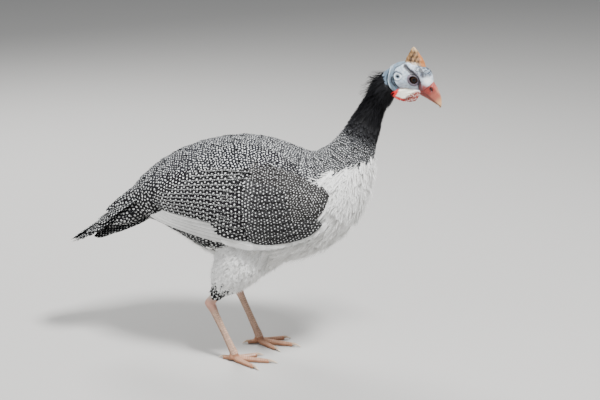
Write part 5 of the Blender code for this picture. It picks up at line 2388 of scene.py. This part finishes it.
@dataclass
class Plumage:
    """Feathers of one sort laid on the trunk, in rows from the tail root to the neck.

    Each feather grows backwards from its root, rises a little to its tip, and lies over those behind it.
    """

    shop: Shop
    rng: np.random.Generator
    trunk: Trunk = TRUNK
    tail_fall: float = 6.0

    def roots(self, first: float, last: float, pitch: Callable) -> tuple[Array, Array]:
        """Staggered places for feathers.

        Args:
            first: the station of the first row.
            last: the station of the last row.
            pitch: gives the distance between feathers at a station.

        Returns:
            Stations and angles in radians.
        """
        stations, angles = [], []
        t, row = first, 0
        while t < last:
            step = pitch(t)
            sizes = self.trunk.at(np.array(t))
            girth = 2 * math.pi * (sizes[3] + (sizes[4] + sizes[5]) / 2) / 2
            count = max(8, round(girth / step))
            turn = (np.arange(count) + 0.5 * (row % 2)) / count * 2 * math.pi - math.pi
            spread = self.rng.normal(0, 0.16, (2, count))
            rate = np.maximum(np.linalg.norm(self.trunk.along(np.full(count, t), turn), axis=1), 4.0)
            stations.append(t + spread[0] * step / rate)
            angles.append(turn + spread[1] * 2 * math.pi / count)
            middle = float(np.median(rate))
            t += step / middle
            row += 1
        return np.concatenate(stations), np.concatenate(angles)

    def march(self, t: Array, angle: Array, steps: Array, lean: Array) -> tuple[Array, Array]:
        """Walks backwards over the trunk from each root.

        Args:
            t: the root's station.
            angle: the root's angle.
            steps: the distance of each station from the root.
            lean: how far the feather heads down the side, in radians.

        Returns:
            Stations and angles of all the points.
        """
        stations, angles = [t], [angle]
        for gap in np.diff(steps, axis=1).T:
            here, turn = stations[-1], angles[-1]
            rate = np.linalg.norm(self.trunk.along(here, turn), axis=1)
            around = np.linalg.norm(self.trunk.around(here, turn), axis=1)
            stations.append(here - gap * np.cos(lean) / np.maximum(rate, 4))
            angles.append(turn + gap * np.sin(lean) / np.maximum(around, 4))
        return np.stack(stations, 1), np.stack(angles, 1)

    def lay(
        self,
        name: str,
        t: Array,
        angle: Array,
        outline: Outline,
        length: Array,
        half: Array,
        lean: Array,
        rise: Array,
        inset: Array,
        marks: Marks,
        vault: float = 0.12,
        columns: int = 5,
        curl: Array | None = None,
    ) -> Mesh:
        """Makes the mesh of one sort of feather at these roots.

        Args:
            name: its name.
            t: the station of each root.
            angle: the angle of each root.
            outline: the feathers' outline.
            length: the length of each.
            half: the half width of each.
            lean: how far each heads down the side, in radians.
            rise: how far its tip stands off the body's form.
            inset: how deep its root lies in it.
            marks: the pattern on each.
            vault: how much each is arched, as a share of its half width.
            columns: the count of points across each.
            curl: how far its tip curls out, if it does.

        Returns:
            The mesh.
        """
        steps = outline.steps(length)
        stations, angles = self.march(t, angle, steps, lean)
        share = steps / steps[:, -1:]
        grow = -inset[:, None] - 0.7 + (rise[:, None] + 0.7) * share**0.9
        if curl is not None:
            grow = grow + curl[:, None] * np.maximum(share - 0.4, 0) ** 2
        grow = grow - self.tail_fall * np.maximum(-stations, 0)
        turn = ((angle + math.pi) % (2 * math.pi) - math.pi) / math.pi
        patch = np.stack([0.03 + 0.44 * (t + 1.2) / (self.trunk.end + 1.4), 0.5 + 0.47 * turn], 1)
        spine, up = self.trunk.point(stations, angles, grow), self.trunk.out(stations, angles)
        return feather_mesh(name, self.shop, spine, up, outline, half, marks, patch, vault, columns)


def feather_mesh(
    name: str,
    shop: Shop,
    spine: Array,
    up: Array,
    outline: Outline,
    half: Array,
    marks: Marks,
    root: Array,
    vault: float = 0.12,
    columns: int = 5,
) -> Mesh:
    """One mesh of many small feathers.

    Args:
        name: its name.
        shop: what turns shapes into pieces.
        spine: the middle line of each feather.
        up: its outward direction along that line.
        outline: the feathers' outline.
        half: the half width of each.
        marks: the pattern on each.
        root: the place of each on the baking map.
        vault: how much each is arched, as a share of its half width.
        columns: the count of points across each.

    Returns:
        The mesh.
    """
    widths = outline.half(half)
    patch = np.concatenate([root, np.full((len(root), 2), BAKE_PATCH)], 1)
    crown = np.maximum(widths * vault, THIN)
    pattern = marks.attributes()
    plates = Plates(spine, up, widths, crown, columns, attributes=pattern, patch=patch, shade=marks.shade)
    return plates.mesh(name, shop)


@dataclass(frozen=True)
class ThighChart:
    """Places on the feathered thigh: reach from the hock, turn round it, and lift."""

    side: Side

    def rows(self) -> tuple:
        """Reach from the hock and half sizes sideways and fore-and-aft."""
        return ((17, 6.6, 7.6), *LEG.thigh)

    def point(self, reach: Array, turn: Array, lift: Array) -> Array:
        """Points of the thigh's coat.

        Args:
            reach: distances up from the hock.
            turn: angles round the thigh.
            lift: heights above its form.

        Returns:
            The points.
        """
        _, hock, knee = LEG.joints(self.side)
        ahead = np.array((knee - hock).normalized())
        table = np.array(self.rows())
        t = np.interp(reach, table[:, 0], np.arange(len(table)))
        sizes = smooth_rows(table, t)
        aside = unit(np.array([0.0, 1.0, 0.0]) - ahead * ahead[1]) * self.side
        fore = np.cross(aside, ahead) * self.side
        wide, deep = (sizes[..., 1] + lift) * np.cos(turn), (sizes[..., 2] + lift) * np.sin(turn)
        return np.array(hock) + reach[..., None] * ahead + wide[..., None] * aside + deep[..., None] * fore


@dataclass(frozen=True)
class Sleeve:
    """Feathers round a thigh or the tail's root. A table has reaches, then the value at each."""

    first: float
    last: float
    pitch: float
    ahead: int
    girth: tuple
    length: tuple
    half: tuple
    inset: tuple
    outline: Outline
    colour: tuple
    pearls: tuple = (1.0, 1.0, 0.0)
    rise: float = 0.6
    curl: float = 6.0
    lean: float = 0.2
    slot: Slot = Slot.WHITE


@dataclass
class Coat:
    """The small feathers of the body and neck.

    Covered is how far behind its wrist a wing hides them, and over_face how far they reach over bare skin.
    """

    shop: Shop
    seed: int = 7
    covered: float = 215.0
    over_face: float = 2.4
    bristle_count: int = 260
    pearl_ground: tuple = (0.011, 0.011, 0.013)
    mantle_ground: tuple = (0.024, 0.025, 0.031)
    white: tuple = (0.88, 0.88, 0.865)
    black: tuple = (0.0065, 0.0065, 0.008)

    def __post_init__(self) -> None:
        """Starts the random draws."""
        self.rng = np.random.default_rng(self.seed)
        self.plumage = Plumage(self.shop, self.rng)
        self.neck = Plumage(self.shop, self.rng, LONG_NECK)
        self.material = PlumageFinish("plumage").material()

    def under_wing(self, t: Array, angle: Array, margin: float = 14.0, start: float = 22.0) -> Array:
        """Which roots lie under a folded wing, well inside its edges.

        Args:
            t: their stations.
            angle: their angles.
            margin: how many degrees inside the wing's edges they have to be.
            start: how far behind the wrist they have to be.

        Returns:
            Whether each lies there.
        """
        stations, run = WING.run(50)
        back = np.interp(-t, -stations, run)
        degrees = np.abs(np.degrees((angle + math.pi) % (2 * math.pi) - math.pi))
        top, low = np.interp(back, WING.back, WING.top), np.interp(back, WING.back, WING.low)
        inside = (degrees > top + margin) & (degrees < low - margin)
        return inside & (back > start) & (back < self.covered) & (t < WING.wrist)

    def inset(self, t: Array) -> Array:
        """How deep the roots lie: in the skin on the body, and nearer the surface at the top of the neck."""
        return Skin(self.shop).inset(t) - 2.8 * ramp(t, 11.7, 12.5)

    def finish(self, mesh: Mesh, name: str, slot: Slot) -> Piece:
        """Makes a piece of a mesh of feathers."""
        mesh.materials.append(self.material)
        return self.shop.fit(self.shop.object_of(mesh, name), slot)

    def chance(self, spread: float, count: int) -> Array:
        """Random numbers round zero with no far outliers."""
        return np.clip(self.rng.normal(0, spread, count), -2 * spread, 2 * spread)

    def look(self, count: int, colour: Sequence[float], low: float = 0.85, high: float = 1.1) -> Marks:
        """Marks of plain feathers of slightly different shades.

        Args:
            count: the count of feathers.
            colour: their red, green and blue.
            low: the darkest shade, as a share of the colour.
            high: the lightest shade.

        Returns:
            Their marks.
        """
        marks = Marks.plain(count, colour)
        marks.ground[:, :3] *= self.rng.uniform(low, high, (count, 1))
        marks.mark[:, 2] = self.rng.random(count)
        return marks

    def pearl_feathers(self) -> None:
        """The dark pearled feathers of the back, rump and flank, finer towards the neck."""
        pitch = ((-0.3, 2, 6, 8, 9.5, 11), (7.0, 7.2, 6.2, 4.8, 4.0, 3.4))
        t, angle = self.plumage.roots(-0.3, 10.6, lambda at: float(np.interp(at, *pitch)))
        white = COAT_MAP.white_at(t, angle) + self.chance(0.14, len(t))
        keep = (white < 0.5) & ~self.under_wing(t, angle)
        t, angle = t[keep], angle[keep]
        count = len(t)
        degrees = np.abs(np.degrees(angle))
        fine = np.maximum(ramp(t, 5.0, 8.5), ramp(degrees, 75, 25) * ramp(t, -1, 3) * 0.85)
        hair = ramp(t, 9.2, 10.2)
        marks = self.look(count, self.pearl_ground, 0.7, 1.35)
        marks.ground[:, :3] += np.outer(fine * (1 - hair), np.subtract(self.mantle_ground, self.pearl_ground))
        radius = (0.128 - 0.07 * fine) * (1 - hair)
        marks.pearls = np.stack([0.55 - 0.28 * fine, 0.53 - 0.26 * fine, radius], 1)
        marks.pearls *= self.rng.uniform(0.9, 1.1, (count, 1))
        marks.mark[:, 1] = 0.22 * fine * ramp(t, 2, 7) * (1 - hair) + 0.02
        length = np.interp(t, (-0.3, 0.5, 3, 7, 9, 11), (44, 36, 29, 22, 14, 11))
        length = length * self.rng.uniform(0.88, 1.12, count)
        half = np.interp(t, (0, 3, 7, 9, 11), (7.6, 7.2, 5.4, 3.4, 2.2)) * self.rng.uniform(0.9, 1.1, count)
        lean = self.rng.normal(0, 0.08, count) + 0.12 * np.sin(angle)
        rise = self.rng.uniform(3.0, 5.0, count) * np.interp(t, (8, 11), (1, 0.6))
        sizes = (length, half, lean, rise, self.inset(t))
        mesh = self.plumage.lay("coat_pearl", t, angle, ROUND_FEATHER, *sizes, marks)
        self.finish(mesh, "coat_pearl", Slot.PEARL)

    def scapulars(self) -> None:
        """The feathers of the shoulder that lie over the upper edge of each wing."""
        found = []
        for inner, pitch in ((15.0, 6.0), (9.0, 6.0), (3.5, 5.5), (-1.0, 5.5)):
            back = np.arange(4.0, 142.0, pitch)
            back = np.concatenate([back, back]) + self.chance(1.2, 2 * len(back))
            side = np.repeat([1.0, -1.0], len(back) // 2)
            edge = np.interp(back, WING.back, WING.top) - inner + self.chance(1.2, len(back))
            found.append(np.stack([back, side, edge, np.full(len(back), inner)]))
        back, side, edge, inner = np.concatenate(found, 1)
        t, angle = WING.stations(back), side * np.radians(edge)
        count = len(t)
        fine = np.maximum(ramp(t, 5.0, 8.5), 0.55)
        marks = self.look(count, self.pearl_ground, 0.7, 1.35)
        marks.ground[:, :3] += np.outer(fine * 0.8, np.subtract(self.mantle_ground, self.pearl_ground))
        marks.pearls = np.stack([0.5 - 0.24 * fine, 0.48 - 0.22 * fine, 0.118 - 0.06 * fine], 1)
        marks.pearls *= self.rng.uniform(0.9, 1.1, (count, 1))
        length = np.interp(back, (0, 60, 140), (22, 30, 38)) * self.rng.uniform(0.9, 1.1, count)
        half = np.interp(back, (0, 60, 140), (5.6, 6.6, 7.2))
        height = np.interp(back, (0, 20, 45, 90, 140), (1.5, 4.2, 5.0, 4.2, 2.5))
        rise = 5.0 + height * (1 - inner / 24) + self.rng.uniform(0.0, 1.0, count)
        lean = side * (0.42 - 0.012 * inner) + self.chance(0.05, count)
        sizes = (length, half, lean, rise, self.inset(t))
        mesh = self.plumage.lay("coat_shoulder", t, angle, ROUND_FEATHER, *sizes, marks, 0.16)
        self.finish(mesh, "coat_shoulder", Slot.PEARL)

    def white_feathers(self) -> None:
        """The soft white plumes of the breast and belly, and finer strands over them."""
        for name, fine in (("coat_white", False), ("coat_down", True)):
            pitch = ((0, 6, 8, 10), (2.6, 2.35, 2.1, 2.0) if fine else (6.0, 5.6, 5.0, 4.6))
            t, angle = self.plumage.roots(-0.1, 9.4, lambda at: float(np.interp(at, *pitch)))
            white = COAT_MAP.white_at(t, angle) + self.chance(0.16, len(t))
            keep = (white > (0.62 if fine else 0.45)) & ~self.under_wing(t, angle, 6.0, 5.0)
            t, angle = t[keep], angle[keep]
            count = len(t)
            marks = self.look(count, self.white, 0.92, 1.06)
            length = np.interp(t, (0, 3, 7, 9), (34, 36, 32, 22)) * self.rng.uniform(0.75, 1.2, count)
            length = np.where(t > WING.wrist, np.minimum(length, 16 + 40 * (t - WING.wrist)), length)
            if fine:
                length, half = length * 0.95, self.rng.uniform(0.45, 1.0, count)
            else:
                half = np.interp(t, (0, 3, 7, 9), (6.4, 6.6, 5.8, 4.4)) * self.rng.uniform(0.85, 1.15, count)
            lean = self.rng.normal(0, 0.3 if fine else 0.2, count)
            rise = self.rng.uniform(3.8, 6.0, count) if fine else self.rng.uniform(3.8, 4.8, count)
            curl = np.abs(self.rng.normal(0, 8, count)) if fine else self.rng.normal(0, 1.5, count)
            outline = STRAND if fine else SOFT_PLUME
            sizes = (length, half, lean, rise, self.inset(t))
            mesh = self.plumage.lay(name, t, angle, outline, *sizes, marks, 0.2, 3, curl)
            self.finish(mesh, name, Slot.WHITE)

    def sleeve(self, name: str, look: Sleeve, place: Callable, strip: int) -> None:
        """Lays feathers round a limb.

        Args:
            name: the piece's name.
            look: their sizes and colours.
            place: gives the limb's points from reach, turn and lift.
            strip: the number of its strip on the baking map.
        """
        rows = np.arange(look.first, look.last, look.pitch)
        counts = np.maximum(np.round(2 * math.pi * np.interp(rows, *look.girth) / look.pitch), 6).astype(int)
        reach = np.repeat(rows, counts) + self.rng.normal(0, 0.2 * look.pitch, counts.sum())
        turn = np.concatenate([(np.arange(each) + 0.5 * (row % 2)) / each for row, each in enumerate(counts)])
        turn = turn + self.rng.normal(0, 0.008, len(turn))
        count = len(reach)
        way = (reach - look.first) / (look.last - look.first)
        chart = np.stack([0.52 + 0.08 * (strip + way), turn % 1], 1)
        turn = 2 * math.pi * turn
        half = np.interp(reach, *look.half) * self.rng.uniform(0.75, 1.2, count)
        steps = look.outline.steps(np.interp(reach, *look.length) * self.rng.uniform(0.8, 1.15, count))
        share = steps / steps[:, -1:]
        lean = self.rng.normal(0, look.lean, count)[:, None]
        at = reach[:, None] + look.ahead * steps * np.cos(lean)
        inset = np.interp(reach, *look.inset)[:, None]
        curl = self.rng.uniform(0, look.curl, count)[:, None] * np.maximum(share - 0.4, 0) ** 2
        lift = (inset + 0.5) * (share**0.8 - 1) + look.rise * share + curl
        about = turn[:, None] + steps * np.sin(lean) / np.interp(at, *look.girth)
        marks = self.look(count, look.colour, 0.92, 1.06)
        marks.pearls = np.tile(look.pearls, (count, 1)) * self.rng.uniform(0.92, 1.08, (count, 1))
        spine, up = place(at, about, lift), outward(place, at, about)
        columns = 3 if look.pearls[2] == 0 else 5
        mesh = feather_mesh(name, self.shop, spine, up, look.outline, half, marks, chart, 0.2, columns)
        self.finish(mesh, name, look.slot)

    def thighs(self) -> None:
        """The white plumes and strands of the thighs, and the pearled feathers at their lower end."""
        girth, inset = ((17, 36, 60, 100), (7, 16, 24, 27)), ((17, 24, 36), (1.3, 3.2, 5.0))
        length = ((20, 40, 100), (14, 26, 34))
        looks = {
            "plume": Sleeve(
                57, 124, 5.0, -1, girth, length, ((20, 40, 100), (3.6, 5, 6.2)), inset, SOFT_PLUME, self.white
            ),
            "down": Sleeve(
                54, 124, 2.2, -1, girth, length, ((0, 1), (0.75, 0.75)), inset, STRAND, self.white,
                curl=14, lean=0.3,
            ),
            "spotted": Sleeve(
                27, 56, 5.6, -1, girth, ((20, 60), (11, 26)), ((20, 60), (4.6, 6.4)), inset, ROUND_FEATHER,
                self.pearl_ground, (0.52, 0.52, 0.135), 1.4, 2, 0.1, Slot.PEARL,
            ),
        }
        strip = 0
        for side in Side:
            for name, look in looks.items():
                self.sleeve(f"thigh_{side.word}_{name}", look, ThighChart(side).point, strip // 2)
                strip += 1

    def tail_root(self) -> None:
        """The pearled coverts round the fleshy root of the tail."""
        girth, inset = ((0, 12, 30, 54), (25, 24, 19, 8)), ((0, 54), (4, 2.5))
        covert = Sleeve(
            -9, 46, 6.4, 1, girth, ((0, 46), (40, 30)), ((0, 46), (8.4, 7.2)), inset, ROUND_FEATHER,
            self.pearl_ground, (0.52, 0.5, 0.14), 1.2, 4, 0.06, Slot.PEARL,
        )
        self.sleeve("coat_tail_root", covert, TAIL.root, 4)

    def hackles(self) -> None:
        """The narrow black hairlike feathers of the upper neck."""
        t, angle = self.neck.roots(9.3, 14.9, lambda at: 2.2)
        keep = (self.rng.random(len(t)) < ramp(t, 9.2, 10.2)) & ~self.bare(t, angle)
        t, angle = t[keep], angle[keep]
        count = len(t)
        marks = self.look(count, self.black, 0.5, 1.9)
        length = self.rng.uniform(9, 15, count)
        half = self.rng.uniform(0.55, 0.95, count)
        lean, rise = self.rng.normal(0, 0.12, count), self.rng.uniform(1.6, 3.2, count)
        flank = ramp(np.abs(angle), 0.45, 0.9) * ramp(np.abs(angle), 3.0, 2.5)
        inset = self.inset(t) - 2.2 * flank * ramp(t, 11.2, 12.1)
        mesh = self.neck.lay("coat_hackle", t, angle, LANCET, length, half, lean, rise, inset, marks, 0.3, 3)
        self.finish(mesh, "coat_hackle", Slot.NECK)

    def bare(self, t: Array, angle: Array) -> Array:
        """Which roots on the long neck lie on the bare skin of the head."""
        head = moved(LONG_NECK.point(t, angle), HEAD.matrix().inverted())
        return FACE.past_edge(head) > self.over_face

    def bristles(self) -> None:
        """The few long black hairs that stand up along the nape."""
        count = self.bristle_count
        t, angle = self.rng.uniform(11.6, 14.9, count), self.rng.normal(0, 0.6, count)
        keep = ~self.bare(t, angle)
        t, angle = t[keep], angle[keep]
        count = len(t)
        marks = self.look(count, self.black)
        length, half = self.rng.uniform(9, 16, count), self.rng.uniform(0.3, 0.45, count)
        lean, rise = self.rng.normal(0, 0.35, count), self.rng.uniform(5.0, 12.0, count)
        sizes = (length, half, lean, rise, self.inset(t))
        mesh = self.neck.lay("coat_bristle", t, angle, STRAND, *sizes, marks, 0.4, 3)
        self.finish(mesh, "coat_bristle", Slot.NECK)

    def build(self) -> None:
        """Makes the coat."""
        self.bristles()
        self.pearl_feathers()
        self.scapulars()
        self.white_feathers()
        self.thighs()
        self.tail_root()
        self.hackles()


@dataclass(frozen=True)
class Look:
    """How big feathers look: ground colour, pearls, bars, stipple, and how steeply each leans sideways."""

    ground: tuple
    pearls: tuple = (0.5, 0.5, 0.0)
    bars: float = 0.0
    stipple: float = 0.0
    slope: float = 0.13


@dataclass(frozen=True)
class Tier:
    """One row of a wing's big feathers. Its pairs hold the values at the row's upper and lower end.

    Roots and tips are distances back from the wrist. Near and far are degrees from the back line, 60 and
    240 mm behind the wrist. Lift is the height at the root and at the tip.
    """

    name: str
    look: Look
    count: int
    roots: tuple
    tips: tuple
    near: tuple
    far: tuple
    half: tuple
    lift: tuple
    bow: float = 0.0
    fold: float = 0.0


@dataclass
class BigFeathers:
    """Gathers feathers of many rows and makes one mesh of them."""

    rng: np.random.Generator
    # how dark each feather is painted near its root, as painted shade
    shade: float = 0.22
    spine: list = field(default_factory=list)
    up: list = field(default_factory=list)
    half: list = field(default_factory=list)
    tilt: list = field(default_factory=list)
    marks: list = field(default_factory=list)

    def add(self, spine: Array, up: Array, half: Array, tilt: Array, look: Look) -> None:
        """Adds the feathers of one row.

        Args:
            spine: the middle line of each.
            up: its outward direction along that line.
            half: its half widths there.
            tilt: how steeply each one leans sideways.
            look: how the row looks.
        """
        count = len(spine)
        marks = Marks.plain(count, look.ground)
        marks.ground[:, :3] *= self.rng.uniform(0.85, 1.15, (count, 1))
        marks.pearls = np.tile(look.pearls, (count, 1)) * self.rng.uniform(0.94, 1.06, (count, 1))
        marks.mark = np.tile([look.bars, look.stipple, 0.0], (count, 1))
        marks.mark[:, 2] = self.rng.random(count)
        self.spine.append(spine)
        self.up.append(up)
        self.half.append(half)
        self.tilt.append(np.broadcast_to(np.asarray(tilt)[:, None], half.shape))
        self.marks.append(marks)

    def mesh(self, name: str, shop: Shop, flip: float, columns: int = 7) -> Mesh:
        """One mesh of all the rows, each feather with a strip of its own on the baking map.

        Args:
            name: its name.
            shop: what turns shapes into pieces.
            flip: 1, or -1 to mirror the pattern across each feather.
            columns: the count of points across each feather.

        Returns:
            The mesh.
        """
        spine, up, half, tilt = (np.concatenate(rows) for rows in (self.spine, self.up, self.half, self.tilt))
        count = len(spine)
        across = math.ceil(math.sqrt(count * 6))
        down = math.ceil(count / across)
        number = np.arange(count)
        patch = np.stack([(number % across + 0.5) / across, (number // across + 0.5) / down], 1)
        patch = np.concatenate([patch, np.tile([0.9 / across, 0.95 / down], (count, 1))], 1)
        attributes = {}
        for key in ("ground", "pearls", "mark"):
            attributes[key] = np.concatenate([getattr(marks, key) for marks in self.marks])
        crown = np.maximum(half * 0.09, 0.16)
        plates = Plates(spine, up, half, crown, columns, tilt, flip, attributes, patch, self.shade)
        return plates.mesh(name, shop)


@dataclass
class Wings:
    """The folded wings: flight feathers, rows of coverts and the small feathers of the arm.

    Starts are how far back from the wrist the small rows lie, and radius is the trunk's there.
    """

    shop: Shop
    seed: int = 11
    starts: tuple = (66, 58, 50, 42, 34.5, 27, 20, 13.5, 8, 3.5, -1)
    radius: float = 66.0
    dark: tuple = (0.012, 0.0115, 0.013)
    slate: tuple = (0.02, 0.018, 0.018)
    white: tuple = (0.88, 0.88, 0.865)

    def tiers(self) -> list[Tier]:
        """The rows, from the lowest to the uppermost.

        Returns:
            The rows.
        """
        primary = Look(self.white, slope=0.24)
        secondary = Look(self.dark, (0.46, 0.46, 0.1), 0.45, slope=0.2)
        greater = Look(self.dark, (0.5, 0.5, 0.11), 0.3)
        median = Look(self.dark, (0.4, 0.4, 0.075), 0.0, 0.12)
        edge = Look(self.white, slope=0.3)
        return [
            Tier("primaries", primary, 7, (75, 70), (206, 246), (96, 119), (84, 108), (8.5, 8.0), (1.0, 1.6)),
            Tier(
                "secondaries", secondary, 12, (95, 66), (170, 230), (46, 104), (50, 85), (10, 9.5),
                (3.0, 1.8), bow=24, fold=0.25,
            ),
            Tier(
                "greater", greater, 11, (58, 44), (134, 150), (49, 111), (50, 104), (9.5, 8.5), (7.5, 4.2),
                bow=5, fold=0.45,
            ),
            Tier("edge", edge, 12, (20, 96), (54, 144), (116, 120), (110, 112), (6.2, 6.6), (8.5, 2.6)),
            Tier(
                "median", median, 11, (34, 24), (102, 108), (50, 112), (50, 110), (8.5, 8), (11.0, 7.2),
                bow=4, fold=0.6,
            ),
        ]

    def tier(self, feathers: BigFeathers, side: Side, tier: Tier) -> None:
        """Lays one row on the wing.

        Args:
            feathers: what they are added to.
            side: the side of the bird.
            tier: the row.
        """
        share = np.linspace(0, 1, tier.count)
        pairs = (tier.roots, tier.tips, tier.near, tier.far, tier.half)
        root, tip, near, far, half = (upper + (lower - upper) * share for upper, lower in pairs)
        slope = tier.look.slope
        tip = tip + tier.bow * np.sin(math.pi * share) + feathers.rng.normal(0, 1.2, tier.count)
        back = root[:, None] + (tip - root)[:, None] * np.array(QUILL.along)
        girth = near[:, None] + (far - near)[:, None] * (back - 60) / 180
        fade = (back - root[:, None]) / (tip - root)[:, None]
        level = ramp(share, -0.06, 0.34) if tier.fold else np.ones(tier.count)
        lift = tier.lift[0] + (tier.lift[1] - tier.lift[0]) * ramp(fade, 0, 0.8) + slope * half[:, None]
        lift = lift * level[:, None] - 2.5 * ramp(fade, 0.15, 0.0)
        spine = WING.point(side, back, girth, lift)
        up = WING.out(side, back, girth)
        feathers.add(spine, up, QUILL.half(half), side * (slope + tier.fold * (1 - level)), tier.look)
        LOG.info("%s wing: %d %s", side.word, tier.count, tier.name)

    def small(self, feathers: BigFeathers, side: Side) -> None:
        """The rows of small dotted feathers that cover the arm, with a white edge at the wrist.

        Args:
            feathers: what they are added to.
            side: the side of the bird.
        """
        for row, start in enumerate(self.starts):
            top, low = np.interp(start, WING.back, WING.top), np.interp(start, WING.back, WING.low)
            wide = float(np.interp(start, (0, 60), (4.2, 6.2)))
            across = math.radians(low - top) * self.radius
            count = max(4, round(across / (wide * 1.15)))
            share = (np.arange(count) + 0.5 * (row % 2) + 0.1) / count
            girth = top + (low - top) * share
            start_back = start + 5 * (2 * share - 1) ** 2 + feathers.rng.normal(0, 0.8, count)
            length = np.interp(start, (0, 60), (19, 30)) * feathers.rng.uniform(0.9, 1.1, count)
            back = start_back[:, None] + length[:, None] * np.array(ROUND_QUILL.along)
            fade = np.broadcast_to(np.array(ROUND_QUILL.along), back.shape)
            pad = np.maximum(WING.pad(np.maximum(back, 6), share[:, None]), 1.0)
            lift = pad - 2.4 + 3.0 * fade
            steep = np.interp(start + 15, WING.back, WING.thick) * 8 * (1 - 2 * share) ** 3 / across
            tilt = side * (0.05 + np.clip(steep, -0.9, 0.9) * ramp(start, 12, 34))
            level = girth[:, None] + 0 * back
            white = share > 0.88
            for pale in (False, True):
                kept = white == pale
                if not kept.any():
                    continue
                look = Look(self.white) if pale else Look(self.slate, (0.32, 0.32, 0.055), 0.0, 0.08)
                feathers.add(
                    WING.point(side, back[kept], level[kept], lift[kept]),
                    WING.out(side, back[kept], level[kept]),
                    ROUND_QUILL.half(np.full(kept.sum(), wide)),
                    tilt[kept],
                    look,
                )

    def build(self) -> list[Piece]:
        """Makes both wings.

        Returns:
            The two pieces.
        """
        made = []
        material = PlumageFinish("wing_plumage").material()
        for side in Side:
            feathers = BigFeathers(np.random.default_rng(self.seed))
            for tier in self.tiers():
                self.tier(feathers, side, tier)
            self.small(feathers, side)
            mesh = feathers.mesh(f"wing_{side.word}_coat", self.shop, float(side))
            mesh.materials.append(material)
            piece = self.shop.object_of(mesh, f"wing_{side.word}_coat")
            made.append(self.shop.fit(piece, Slot.WING, ("wing_" + side.word,)))
        return made


@dataclass
class Tail:
    """The tail: a fan of quills, rows of coverts above and softer ones below."""

    shop: Shop
    seed: int = 5
    dark: tuple = (0.013, 0.013, 0.015)

    def row(
        self,
        feathers: BigFeathers,
        each: float,
        root: float,
        tip: float,
        half: float,
        pitch: tuple,
        lift: tuple,
        look: Look,
        turn: int = 1,
    ) -> None:
        """Lays one row of the tail.

        Args:
            feathers: what it is added to.
            each: the number of the outermost feather, counted from the middle.
            root: where it starts, back from the tail's root.
            tip: where its middle feathers end.
            half: the half width of a feather.
            pitch: the arc between feathers at the root and far out.
            lift: the height at the root and at the tip.
            look: how it looks.
            turn: 1 above the tail and -1 below it.
        """
        index = np.arange(-each, each + 1)
        end = tip - 0.011 * index**2 * (tip - root) + feathers.rng.normal(0, 1.0, len(index))
        back = root + (end - root)[:, None] * np.array(QUILL.along)
        over = index[:, None] * np.interp(back, (10, 110), pitch)
        fade = (back - root) / (end - root)[:, None]
        middle = 1 + (np.abs(index) < 0.6)
        height = lift[0] + (lift[1] - lift[0]) * fade + look.slope * (half * middle)[:, None]
        spine = TAIL.point(back, over, turn * height)
        up = TAIL.out(over) * turn
        tilt = look.slope * np.sign(index) * turn
        feathers.add(spine, up, QUILL.half(np.full(len(index), half)), tilt, look)

    def build(self) -> Piece:
        """Makes the tail.

        Returns:
            The piece.
        """
        feathers = BigFeathers(np.random.default_rng(self.seed))
        quill = Look(self.dark, (0.55, 0.52, 0.13), 0.5, 0.05, 0.2)
        covert = Look(self.dark, (0.5, 0.48, 0.125), 0.0, 0.05, 0.15)
        self.row(feathers, 6.5, 12, 119, 10.0, (2.4, 4.7), (0, 0), quill)
        self.row(feathers, 5, 4, 92, 9.0, (3.8, 5.4), (3.4, 3.2), covert)
        self.row(feathers, 4, -4, 70, 8.6, (4.8, 6.0), (6.8, 6.4), covert)
        self.row(feathers, 4, -12, 48, 8.2, (5.4, 6.4), (10.5, 9.6), covert)
        self.row(feathers, 3, 4, 84, 9.0, (5.6, 6.6), (17, 4.5), covert, -1)
        self.row(feathers, 3, -4, 60, 8.8, (6.0, 7.0), (20, 9), covert, -1)
        mesh = feathers.mesh("tail_coat", self.shop, 1.0)
        mesh.materials.append(PlumageFinish("tail_plumage").material())
        return self.shop.fit(self.shop.object_of(mesh, "tail_coat"), Slot.PEARL, ("tail",))


def main() -> None:
    """Builds the bird and its studio."""
    logging.basicConfig(level=logging.INFO, format="%(message)s")
    solids = corners(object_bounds())
    shop = Shop()
    Studio().build()
    for part in (Skin, Bill, Helmet, Wattles, Eyes, Claws, Scutes, Coat, Wings, Tail):
        part(shop).build()
    dressed = corners(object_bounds())


if __name__ == "__main__":
    main()
